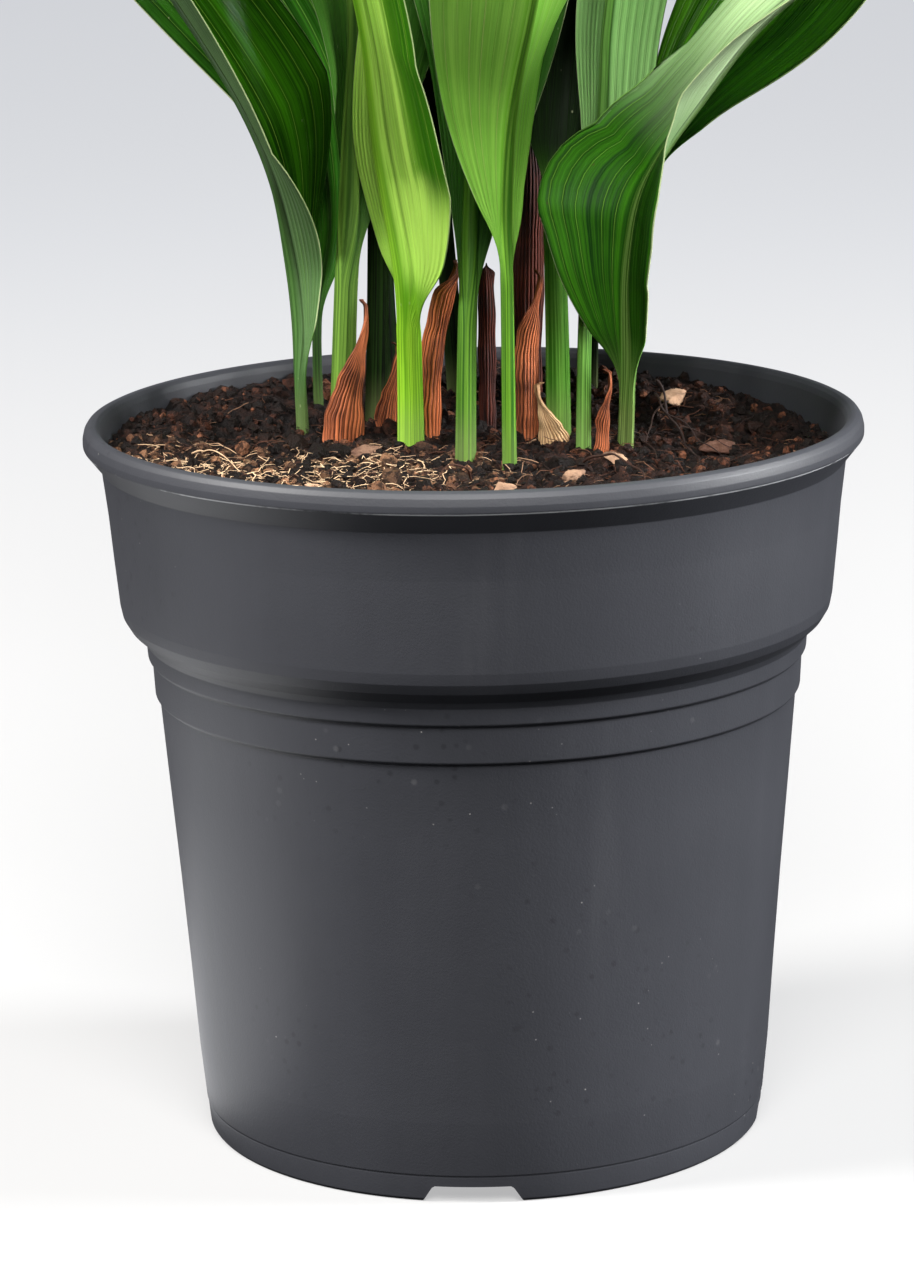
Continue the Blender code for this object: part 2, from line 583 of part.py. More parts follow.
def main():
    for old in list(bpy.data.objects):
        bpy.data.objects.remove(old, do_unlink=True)
    pot()
    painted(rootstock("rootstock", 0.0), "root")
    for name, spec in LEAVES.items():
        leaf(name, spec)
    for name, spec in SHEATHS.items():
        sheath(name, spec)
    for number, (place, size) in enumerate(CHIPS):
        chip(f"bark_chip_{number + 1:02d}", place, size, number)
    cutters = [rootstock("root_hollow", GAP)]
    cutters += [stalk_hole(spec) for spec in LEAVES.values()]
    cutters += [sheath("sheath_slot", spec, GAP) for spec in SHEATHS.values()]
    cutters += [chip("chip_bed", place, size, number, GAP) for number, (place, size) in enumerate(CHIPS)]
    painted(cut_or_join(soil(), cutters, "DIFFERENCE"), "soil")


main()
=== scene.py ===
"""A potted cast iron plant: a dark moulded nursery pot, crumbly peat soil, folded ribbed leaves on
their stalks, dry brown sheaths round the stalk feet and bark chips on the soil.
Plan sizes are in centimetres, as they were measured, and CM turns them into metres."""

import json
import math

import bmesh
import bpy
import numpy as np
from mathutils import Matrix, Vector, noise

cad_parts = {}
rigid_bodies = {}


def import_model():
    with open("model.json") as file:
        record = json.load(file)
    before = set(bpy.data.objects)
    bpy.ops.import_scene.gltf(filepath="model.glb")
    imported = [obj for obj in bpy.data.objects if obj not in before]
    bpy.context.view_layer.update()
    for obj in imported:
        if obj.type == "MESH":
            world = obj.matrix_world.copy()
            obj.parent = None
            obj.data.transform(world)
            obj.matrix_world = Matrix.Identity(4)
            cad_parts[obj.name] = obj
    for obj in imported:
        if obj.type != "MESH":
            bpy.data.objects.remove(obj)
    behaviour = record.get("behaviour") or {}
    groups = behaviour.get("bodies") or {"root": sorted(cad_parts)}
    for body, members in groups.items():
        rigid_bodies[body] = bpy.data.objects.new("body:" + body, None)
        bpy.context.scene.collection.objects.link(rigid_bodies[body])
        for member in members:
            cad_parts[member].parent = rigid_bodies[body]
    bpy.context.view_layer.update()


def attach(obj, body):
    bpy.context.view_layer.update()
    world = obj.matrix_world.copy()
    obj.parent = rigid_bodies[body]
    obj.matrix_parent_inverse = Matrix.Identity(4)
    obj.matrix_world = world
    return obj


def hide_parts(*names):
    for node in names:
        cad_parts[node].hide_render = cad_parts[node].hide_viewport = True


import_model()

CM = 0.01
SEED = 4107
BODY = "root"

# Camera, where the photograph was taken from
CAMERA_AT = (0.0016, -1.4188, 0.4957)
CAMERA_PITCH, CAMERA_YAW, CAMERA_ROLL = 0.2368, -0.0055, 0.0186
CAMERA_LENS = 131.87

# Pot
POT_SEGMENTS = 288
POT_TURN = -2.65
POT_OUTSIDE = (
    (8.65, 0.0), (8.73, 0.10), (8.80, 0.80), (8.795, 0.84), (8.83, 0.89), (9.00, 2.60), (9.19, 5.24),
    (9.42, 8.20), (9.70, 11.50), (9.90, 13.93), (10.03, 14.02), (10.09, 15.12), (10.22, 15.22),
    (10.26, 15.72), (10.40, 15.94), (10.77, 16.28), (10.96, 16.60), (11.03, 16.95), (11.17, 18.40),
    (11.29, 19.75), (11.46, 21.20), (12.00, 21.88), (12.00, 22.08), (11.95, 22.30), (11.86, 22.44),
    (11.74, 22.50), (11.60, 22.48), (11.49, 22.38), (11.43, 22.20),
)
POT_INSIDE = (
    (11.31, 21.20), (11.02, 18.40), (10.88, 16.98), (10.80, 16.68), (10.62, 16.42), (10.25, 16.08),
    (10.11, 15.75), (10.07, 15.28), (9.94, 15.10), (9.88, 14.10), (9.75, 13.90), (9.55, 11.50),
    (9.04, 5.24), (8.69, 1.00), (8.62, 0.88),
)
FLOOR_UNDER = 0.70
FOOT_INSIDE, FOOT_DRAFT = 8.40, 0.12
CORNER = 0.11
# A painted highlight: a thin pale line that runs round the lip's lower edge, outside this radius, at this
# height
LIP_GLINT_RADIUS, LIP_GLINT_HEIGHT = 11.85, 21.845
# The four openings in the foot: width below and above, height, and the cutter's inner and outer distance
NOTCH_LOW, NOTCH_HIGH, NOTCH_RISE = 3.05, 2.40, 0.52
NOTCH_REACH = (7.9, 9.3)
DRAIN_COUNT, DRAIN_RADIUS, DRAIN_RING = 8, 0.55, 6.6

# Soil: its level at the stalk feet, how high its large form and its crumbs may reach, and its underside
SOIL_LEVEL, SOIL_CREST, SOIL_BRIM, SOIL_UNDER = 20.95, 22.05, 22.1, 0.92
LUMP_COUNT, LUMP_REACH = 34, 10.6
# How much the pot's wall leans in beside the soil's edge, for each centimetre down
WALL_LEAN = 0.104
SOIL_RINGS, SOIL_PARTS = 150, 430
# The middle of the strawy patch at the front left, and how many times as many fibres lie on strawy soil
STRAW_AT, STRAW_FIBRES = (-5.2, -1.6), 4.5

# Leaves: the line of the stalk and midrib; which way the upper side faces, in degrees; how far along the
# stalk ends; half the blade's width and how soon it is reached; the stalk's radius; how steeply the halves
# fold up near the stalk and far out, in degrees; each half's share of the width; and, at shares of the
# length, the turn about the midrib and how far the right half drops, in degrees
LEAVES = {
    "leaf_01": dict(
        route=((-5.3, 5.3, 19), (-5.4, 5.0, 22.7), (-5.65, 5.1, 26.3), (-6.4, 4.0, 30.2), (-8.9, 2.5, 35.1),
               (-15, -1, 44), (-23, -5, 50), (-31, -9, 49)),
        face=-2, neck=3.2, width=4.4, flare=5.1, stalk=0.33, fold=(38, 16), sides=(0.42, 0.82),
        twist=((0, 0), (0.15, 18), (0.25, -11), (0.36, -1), (0.7, 28), (1, 35))),
    "leaf_02": dict(
        route=((-4.9, 6.6, 19), (-5.0, 7.2, 22.6), (-4.95, 7.5, 24.5), (-4.5, 8.0, 27.5), (-5.4, 8.6, 32),
               (-10.5, 10, 38.5), (-16.5, 13.5, 43), (-23, 18, 44)),
        face=-90, neck=5.0, width=3.4, flare=7.0, stalk=0.17, fold=(45, 14)),
    "leaf_03": dict(
        route=((-4.22, 4.2, 19), (-4.0, 4.1, 24.1), (-3.68, 4.2, 30), (-3.45, 4.4, 35), (-5, 5.5, 45),
               (-10, 7, 56), (-18, 8, 62), (-26, 8, 60)),
        face=56, neck=7.2, width=4.2, flare=6.5, stalk=0.44, fold=(58, 12), sides=(0.8, 1.1),
        twist=((0, 0), (0.25, 11), (1, 0))),
    "leaf_04": dict(
        route=((-3.2, 5.6, 19), (-3.0, 5.8, 24.1), (-2.9, 6.2, 28), (-2.8, 6.9, 34), (-3, 8, 44),
               (-4.5, 9.5, 58), (-8, 11.5, 70), (-13, 13, 76)),
        face=-80, neck=18.0, width=4.2, flare=7, stalk=0.36, fold=(45, 12)),
    "leaf_05": dict(
        route=((-1.86, 3, 19), (-1.83, 2.8, 23), (-1.9, 2.2, 26), (-2.56, 1.6, 30.4), (-3.1, 0.5, 35.2),
               (-6, -4, 45), (-10, -11, 53), (-15, -19, 55)),
        face=26, neck=5.8, width=4.0, flare=2.8, stalk=0.58, fold=(5, 12), sides=(1, 0.38),
        twist=((0, 0), (0.22, -2), (0.32, -16), (1, 0)),
        splay=((0.08, 8), (0.14, 20), (0.24, 14), (0.32, 0))),
    "leaf_06": dict(
        route=((1.1, -0.6, 19), (1.1, -1.05, 24.3), (1.13, -1.5, 29.3), (1.3, -2.0, 31.8), (2.0, -4.1, 35.5),
               (3.7, -8.5, 45), (5.7, -17, 54), (7.5, -28, 57)),
        face=93, neck=7.9, width=4.6, flare=5, stalk=0.23, fold=(42, 12), sides=(1.26, 0.6),
        twist=((0, 0), (0.25, 35), (1, 0))),
    "leaf_07": dict(
        route=((-0.3, 0.2, 19), (-0.15, 0.5, 24.4), (0, 0.9, 28), (0.15, 1.3, 31), (0.25, 1.6, 36),
               (-0.3, 0.5, 50), (-2.5, -4, 64), (-6, -12, 73)),
        face=78, neck=6.5, width=4.4, flare=9.6, stalk=0.34, fold=(42, 12),
        twist=((0, 0), (0.25, -7), (1, 0))),
    "leaf_08": dict(
        route=((2.7, 3.6, 19), (2.7, 4.1, 23.7), (2.7, 5.1, 28), (3.0, 6.6, 31.8), (3.5, 8.0, 36),
               (5.5, 10, 48), (10, 11, 60), (17, 12, 67)),
        face=-95, neck=9.0, width=4.2, flare=8.0, stalk=0.40, fold=(8, 12)),
    "leaf_09": dict(
        route=((3.4, 1.9, 19), (3.5, 2.5, 24), (3.75, 3.3, 28), (4.15, 3.8, 30.7), (4.45, 4.0, 34.6),
               (7, 3.6, 46), (12, 1.5, 56), (20, -2, 60)),
        face=118, neck=6.5, width=3.6, flare=4, stalk=0.26, fold=(5, 12), sides=(0.58, 0.3),
        twist=((0, 0), (0.25, 8), (1, 0)),
        splay=((0.12, 0), (0.2, -95), (0.45, -80), (0.7, 0))),
    "leaf_10": dict(
        route=((4.65, 2.6, 19), (4.82, 2.0, 23), (4.88, 1.2, 26.9), (5.42, 0.6, 29.5), (7.1, 0.3, 32),
               (9.3, -0.4, 34.7), (16, -2.5, 39), (24, -5, 40), (31, -7, 37)),
        face=-130, neck=3.5, width=4.3, flare=5.7, stalk=0.30, fold=(45, 16), sides=(1, 0.7),
        twist=((0, 0), (0.18, 0), (0.226, -10), (0.262, -61), (0.298, -70), (0.38, -66), (0.48, -64),
               (1, -70)),
        splay=((0.1, 45), (0.13, 40), (0.145, 29), (0.17, 18), (0.19, 10), (0.226, 7), (0.262, 44),
               (0.29, 37), (0.34, 22), (0.5, 12))),
    "leaf_11": dict(
        route=((4.6, 6.4, 19), (5.1, 6.3, 24), (5.3, 6.0, 27.5), (7.0, 6.3, 31.3), (9.65, 6.7, 34.4),
               (15, 8, 41), (21, 11, 47), (27, 14, 49)),
        face=-160, neck=9.8, width=5.1, flare=5.6, stalk=0.31, fold=(10, 12), sides=(1, 1.4),
        twist=((0, 0), (0.25, 14), (1, 0))),
    "leaf_12": dict(
        route=((-2.6, 7.5, 19), (-2.7, 7.9, 24), (-3.2, 9.0, 31), (-5.9, 11.9, 42), (-11, 16.5, 55),
               (-17, 21.5, 62)),
        face=-58, neck=18.5, width=4.0, flare=7, stalk=0.30, fold=(40, 12)),
    "leaf_13": dict(
        route=((-0.4, 8.7, 19), (-0.8, 9.4, 26), (-1.5, 11, 34), (-3.2, 15.5, 48), (-4.6, 21.5, 61),
               (-5, 28, 68)),
        face=-112, neck=20.0, width=4.0, flare=7, stalk=0.32, fold=(12, 12)),
    "leaf_14": dict(
        route=((1.5, 8.4, 19), (1.5, 8.8, 26), (1.4, 10.1, 36), (1.0, 13, 50), (1.2, 16, 66),
               (2.2, 18.5, 79), (3.5, 20, 85)),
        face=-95, neck=21.0, width=4.2, flare=7, stalk=0.34, fold=(30, 12)),
    "leaf_15": dict(
        route=((3.7, 8.4, 19), (3.9, 8.9, 25), (4.7, 9.8, 32), (7.5, 12.5, 43), (12.5, 17, 53), (19, 22, 58),
               (25, 27, 57)),
        face=-125, neck=17.0, width=4.2, flare=7, stalk=0.32, fold=(42, 12)),
}

# Sheaths: where they stand, which side is open and how wide, where they start to narrow and how far they lean
SHEATHS = {
    "sheath_01": dict(foot=(-4.22, 4.12, 19.7), top=(-3.82, 3.6, 25.6), radius=(0.58, 0.50), side=100,
                      gap=190, bow=(0.0, -0.1), point=0.25, lean=75),
    "sheath_02": dict(foot=(-1.35, 3.9, 19.7), top=(-0.55, 3.4, 26.8), radius=(0.30, 0.25), side=140,
                      gap=90, bow=(-0.35, 0.0), point=0.82, lean=90),
    "sheath_03": dict(foot=(0.45, 5.8, 19.7), top=(0.50, 6.0, 26.3), radius=(0.19, 0.19), side=90,
                      gap=90, point=0.88, lean=0),
    "sheath_04": dict(foot=(1.62, 4.4, 19.7), top=(1.80, 3.9, 26.4), radius=(0.36, 0.32), side=120,
                      gap=150, bow=(-0.05, 0.0), point=0.55, lean=60),
    "sheath_05": dict(foot=(1.66, 8.45, 19.7), top=(2.10, 8.6, 31.6), radius=(0.46, 0.44), side=90,
                      gap=200, point=0.70, lean=-15),
    "sheath_06": dict(foot=(-2.76, 4.9, 19.7), top=(-2.66, 4.8, 24.0), radius=(0.28, 0.28), side=120,
                      gap=150, point=0.35, lean=60),
    "sheath_07": dict(foot=(2.7, 3.6, 19.7), top=(2.62, 3.35, 22.9), radius=(0.50, 0.54), side=75,
                      gap=170, point=0.15, lean=-70),
    "sheath_08": dict(foot=(3.80, 1.75, 19.7), top=(4.05, 1.60, 23.6), radius=(0.24, 0.22), side=157,
                      gap=170, point=0.5, lean=30),
}

# Leaf blades: veins on each half, how deep the pleats and the slow wave are, half the thickness, how far
# below the neck the stalk starts to open and over how long a way, and how finely the blade is divided
VEINS = 7
PLEAT, WAVE, THIN = 0.032, 0.10, 0.03
LEAD, OPENING = 0.5, 3.0
ROUND_STEPS, BLADE_STEPS, LONG_STEPS = 5, 40, 110
# The blade stops this share of the way along, so that its fine tip stays inside the solid's
TIP_SHARE = 0.994
# A margin that rolls up: which half, how much of it, its radius, and from where to where past the neck
MARGIN_CURLS = {"leaf_10": (0, 0.62, 0.24, 5.3, 10.5)}
# Leaf colours, from 0 to 255: furrow, pleat, vein, underside, the stalk's dark and pale lines; how matt the
# blade is and how much light comes through it; and how far it carries painted lit and shaded patches, a
# painted sheen with real spots, and painted shade near the stalk
LEAF_LOOKS = {
    "leaf_01": dict(deep=(4, 24, 1), light=(50, 106, 12), vein=(110, 150, 50), back=(98, 128, 84),
                    stem=((28, 56, 18), (66, 100, 48)), matt=0.18, glow=0.05),
    "leaf_02": dict(deep=(10, 40, 2), light=(45, 100, 18), vein=(110, 155, 60), back=(60, 105, 40),
                    stem=((14, 34, 6), (52, 88, 30)), matt=0.26, glow=0.03),
    "leaf_03": dict(deep=(8, 28, 1), light=(40, 82, 12), vein=(90, 130, 50), back=(50, 92, 26),
                    stem=((34, 62, 12), (92, 126, 46)), matt=0.30, glow=0.04),
    # Near-black stalk: painted shade.
    "leaf_04": dict(deep=(12, 42, 4), light=(50, 102, 20), vein=(86, 134, 44), back=(52, 96, 30),
                    stem=((2, 5, 1), (28, 50, 12)), matt=0.42, glow=0.20, shady=1.0),
    "leaf_05": dict(deep=(8, 48, 1), light=(80, 152, 8), vein=(170, 215, 80), back=(96, 156, 30),
                    stem=((68, 118, 8), (134, 182, 44)), matt=0.32, glow=0.26, lit_and_shaded=1.0,
                    through=(0.44, 0.80, 0.03)),
    "leaf_06": dict(deep=(84, 154, 20), light=(158, 216, 78), vein=(205, 240, 130), back=(140, 196, 84),
                    stem=((32, 80, 12), (104, 152, 40)), matt=0.30, glow=0.12),
    "leaf_07": dict(deep=(24, 62, 10), light=(75, 125, 45), vein=(110, 155, 75), back=(40, 80, 24),
                    stem=((28, 66, 8), (84, 126, 36)), matt=0.30, glow=0.05),
    # Near-black blade: painted shade; the bright stalk is its own colour.
    "leaf_08": dict(deep=(3, 9, 1), light=(14, 34, 4), vein=(45, 85, 20), back=(8, 18, 2),
                    stem=((38, 84, 14), (84, 132, 48)), matt=0.36, glow=0.02, shady=1.0),
    "leaf_09": dict(deep=(50, 100, 34), light=(146, 196, 118), vein=(180, 222, 146), back=(150, 200, 122),
                    stem=((40, 82, 16), (100, 148, 60)), matt=0.42, glow=0.12),
    "leaf_10": dict(deep=(10, 48, 1), light=(56, 118, 12), vein=(110, 158, 52), back=(132, 170, 110),
                    stem=((40, 72, 14), (118, 150, 74)), matt=0.54, glow=0.06, sheen_and_spots=1.0),
    "leaf_11": dict(deep=(10, 42, 1), light=(70, 130, 22), vein=(95, 145, 50), back=(60, 100, 40),
                    stem=((16, 42, 6), (52, 90, 30)), matt=0.24, glow=0.05),
    # Near-black stalk: painted shade; this finish also serves leaf_13 to leaf_15.
    "leaf_12": dict(deep=(12, 42, 4), light=(46, 98, 20), vein=(84, 132, 42), back=(50, 94, 28),
                    stem=((2, 5, 1), (18, 36, 8)), matt=0.46, glow=0.20, shady=1.0),
}
SHEATH_SKINS = dict(zip(SHEATHS, ("rust", "tan", "dark", "rust", "dark", "rust", "straw", "rust")))
# Sheath colours: between the ribs, on them and at the bleached foot, and how strong that foot is
SHEATH_LOOKS = {
    "rust": ((0.050, 0.010, 0.004), (0.58, 0.165, 0.060), (0.62, 0.38, 0.24)),
    "tan": ((0.060, 0.012, 0.004), (0.50, 0.130, 0.040), (0.56, 0.32, 0.18)),
    "dark": ((0.010, 0.002, 0.002), (0.115, 0.022, 0.010), (0.20, 0.06, 0.03)),
    "straw": ((0.30, 0.15, 0.06), (0.58, 0.38, 0.20), (0.70, 0.56, 0.36), 0.3),
}
RIBS, SHEATH_ROWS, SHEATH_ACROSS = 13, 90, 79

# Bark chips: place on the soil, length, width and thickness
CHIPS = (
    ((6.5, 6.6), (1.9, 1.1, 0.6)), ((-3.3, 1.6), (1.2, 0.8, 0.5)), ((4.3, -0.4), (1.0, 0.8, 0.6)),
    ((3.1, -2.6), (1.1, 0.8, 0.5)), ((0.9, -4.6), (0.9, 0.6, 0.5)), ((7.6, 1.6), (1.4, 1.2, 0.6)),
)

# Tone of each chip, from dark to pale
CHIP_TONES = (0.85, 0.45, 0.75, 0.55, 0.70, 0.20)

# Loose root strands: their lines, drawn for soil at this level, and their radii
STRAND_LEVEL = 21.25
STRANDS = (
    (((5.7, 1.2, 23.6), (6.1, 0.9, 22.6), (6.5, 0.0, 21.9), (6.9, -1.4, 21.45), (7.0, -2.6, 21.3)), 0.045),
    (((5.6, 1.0, 23.2), (5.9, 0.4, 22.9), (6.6, 0.1, 22.3), (7.3, -0.6, 21.7), (7.9, -1.7, 21.3)), 0.032),
    (((6.0, 1.4, 22.9), (5.4, 0.2, 22.3), (5.5, -1.2, 21.7), (6.1, -2.7, 21.4)), 0.028),
    (((6.3, 0.6, 22.2), (6.9, 0.9, 22.1), (7.6, 0.5, 21.7), (8.4, 0.4, 21.4)), 0.022),
    (((3.4, -1.9, 21.6), (3.9, -2.6, 22.0), (4.7, -3.3, 21.9), (5.3, -4.3, 21.4)), 0.05),
    (((0.0, -3.4, 21.4), (-0.5, -4.2, 21.95), (-1.3, -5.0, 21.5)), 0.04),
    (((-8.6, -1.2, 21.6), (-7.9, -2.3, 22.0), (-7.0, -3.0, 21.6)), 0.03),
)

# What lies loose on the soil: the rule's sizes in metres and its seed, the slot, and the distance kept from
# the wall in metres
LOOSE = {
    "soil_crumbs": (dict(Density=170000.0, Largest=0.0019, Rounds=1, Seed=5), "peat_soil", 0.001),
    "soil_clods": (dict(Density=9000.0, Largest=0.0034, Rounds=2, Seed=23), "peat_soil", 0.006),
    "soil_fibres": (dict(Density=62000.0, Longest=0.0085, Thickness=0.015, Seed=41), "peat_soil", 0.010),
    "soil_flakes": (dict(Density=700.0, Largest=0.0022, Seed=57), "bark", 0.006),
}

# Studio, in metres: the floor's radius and how much of it is flat, and each light's place, aim, width, power
# and colour
FLOOR_REACH, FLOOR_FLAT = 14.0, 9.0
FLOOR_RINGS, FLOOR_PARTS = 36, 96
LIGHTS = {
    "key_light": ((-1.9, -0.5, 1.9), (0, 0, 0.30), 0.7, 130, (1.0, 0.98, 0.95)),
    "front_light": ((0.1, -1.9, 2.1), (0, 0, 0.22), 1.6, 122, (1.0, 0.99, 0.97)),
    "low_light": ((-0.265, 0.03, 0.004), (-0.24, 0.03, 0.5), 0.33, 0.58, (0.97, 0.98, 1.0)),
    "right_light": ((1.8, -0.1, 0.9), (0, 0, 0.20), 0.65, 84, (0.98, 0.99, 1.0)),
}
AIR_COLOUR, AIR_STRENGTH = (0.90, 0.93, 1.0, 1.0), 0.025


# Node values written as sums

class Board:
    """A node tree being laid out."""

    def __init__(self, tree):
        self.tree = tree

    def add(self, kind, settings=None, sockets=None, out=0):
        node = self.tree.nodes.new(kind)
        for key, value in (settings or {}).items():
            setattr(node, key, value)
        for key, value in (sockets or {}).items():
            if isinstance(value, Wire):
                self.tree.links.new(value.socket, node.inputs[key])
            else:
                node.inputs[key].default_value = value
        return Wire(self, node.outputs[out]) if node.outputs else None

    def attribute(self, name):
        return self.add("ShaderNodeAttribute", {"attribute_name": name}, out="Fac")

    def place(self):
        return self.add("ShaderNodeTexCoord", out="Object")

    def noise(self, vector, scale, detail=3.0, rough=0.55, stretch=None):
        if stretch is not None:
            vector = self.vector("MULTIPLY", vector, stretch)
        return self.add("ShaderNodeTexNoise", {}, {"Vector": vector, "Scale": scale, "Detail": detail,
                                                   "Roughness": rough})

    def dots(self, place, scale, core, edge, shift=(0.0, 0.0, 0.0)):
        """1 in the middle of small scattered dots, 0 between them."""
        cells = self.add("ShaderNodeTexVoronoi", {"feature": "F1"},
                         {"Vector": self.vector("ADD", place, shift), "Scale": scale}, "Distance")
        return 1 - cells.step(core, edge)

    def math(self, operation, *values):
        return self.add("ShaderNodeMath", {"operation": operation}, dict(enumerate(values)))

    def vector(self, operation, one, two):
        return self.add("ShaderNodeVectorMath", {"operation": operation}, {0: one, 1: two})

    def reach(self, place, stretch):
        """How far a place is from the middle, with its axes stretched."""
        return self.add("ShaderNodeVectorMath", {"operation": "LENGTH"},
                        {0: self.vector("MULTIPLY", place, stretch)}, "Value")

    def joined(self, x, y, z):
        return self.add("ShaderNodeCombineXYZ", {}, {0: x, 1: y, 2: z})

    def mix(self, one, two, share):
        """A colour between two others."""
        one, two = (v if isinstance(v, Wire) else (*v, 1.0) for v in (one, two))
        return self.add("ShaderNodeMix", {"data_type": "RGBA"}, {0: share, 6: one, 7: two}, 2)

    def bump(self, height, strength, distance):
        return self.add("ShaderNodeBump", {}, {"Height": height, "Strength": strength, "Distance": distance})


class Wire:
    """One value on a board; a sum of wires and numbers adds the Math nodes for it."""

    def __init__(self, board, socket):
        self.board, self.socket = board, socket

    def math(self, operation, *others):
        return self.board.math(operation, self, *others)

    def __add__(self, other):
        return self.math("ADD", other)

    __radd__ = __add__

    def __sub__(self, other):
        return self.math("SUBTRACT", other)

    def __rsub__(self, other):
        return self.board.math("SUBTRACT", other, self)

    def __mul__(self, other):
        return self.math("MULTIPLY", other)

    __rmul__ = __mul__

    def __truediv__(self, other):
        return self.math("DIVIDE", other)

    def __pow__(self, other):
        return self.math("POWER", other)

    def step(self, low, high):
        """0 below low, 1 above high, and a soft rise between."""
        return self.board.add("ShaderNodeMapRange", {"interpolation_type": "SMOOTHSTEP"},
                              {"Value": self, "From Min": low, "From Max": high})

    def split(self, axis):
        return self.board.add("ShaderNodeSeparateXYZ", {}, {0: self}, "XYZ".index(axis))


def material(name, draw):
    """A material whose surface is what draw(board) returns."""
    made = bpy.data.materials.new(name)
    made.use_nodes = True
    made.node_tree.nodes.clear()
    board = Board(made.node_tree)
    board.add("ShaderNodeOutputMaterial", {}, {"Surface": draw(board)})
    return made


def surface(board, colour, rough, normal=None, **fixed):
    """The main shader, with what is fixed set on its own sockets."""
    sockets = {"Base Color": colour, "Roughness": rough}
    if normal is not None:
        sockets["Normal"] = normal
    sockets.update({key.replace("_", " "): value for key, value in fixed.items()})
    return board.add("ShaderNodeBsdfPrincipled", {}, sockets)


# Finishes

def tint(shade):
    """The light a surface gives back, from a colour as it looks in the studio."""
    return [min(0.85, 1.18 * ((v / 255 + 0.055) / 1.055) ** 2.4) for v in shade]


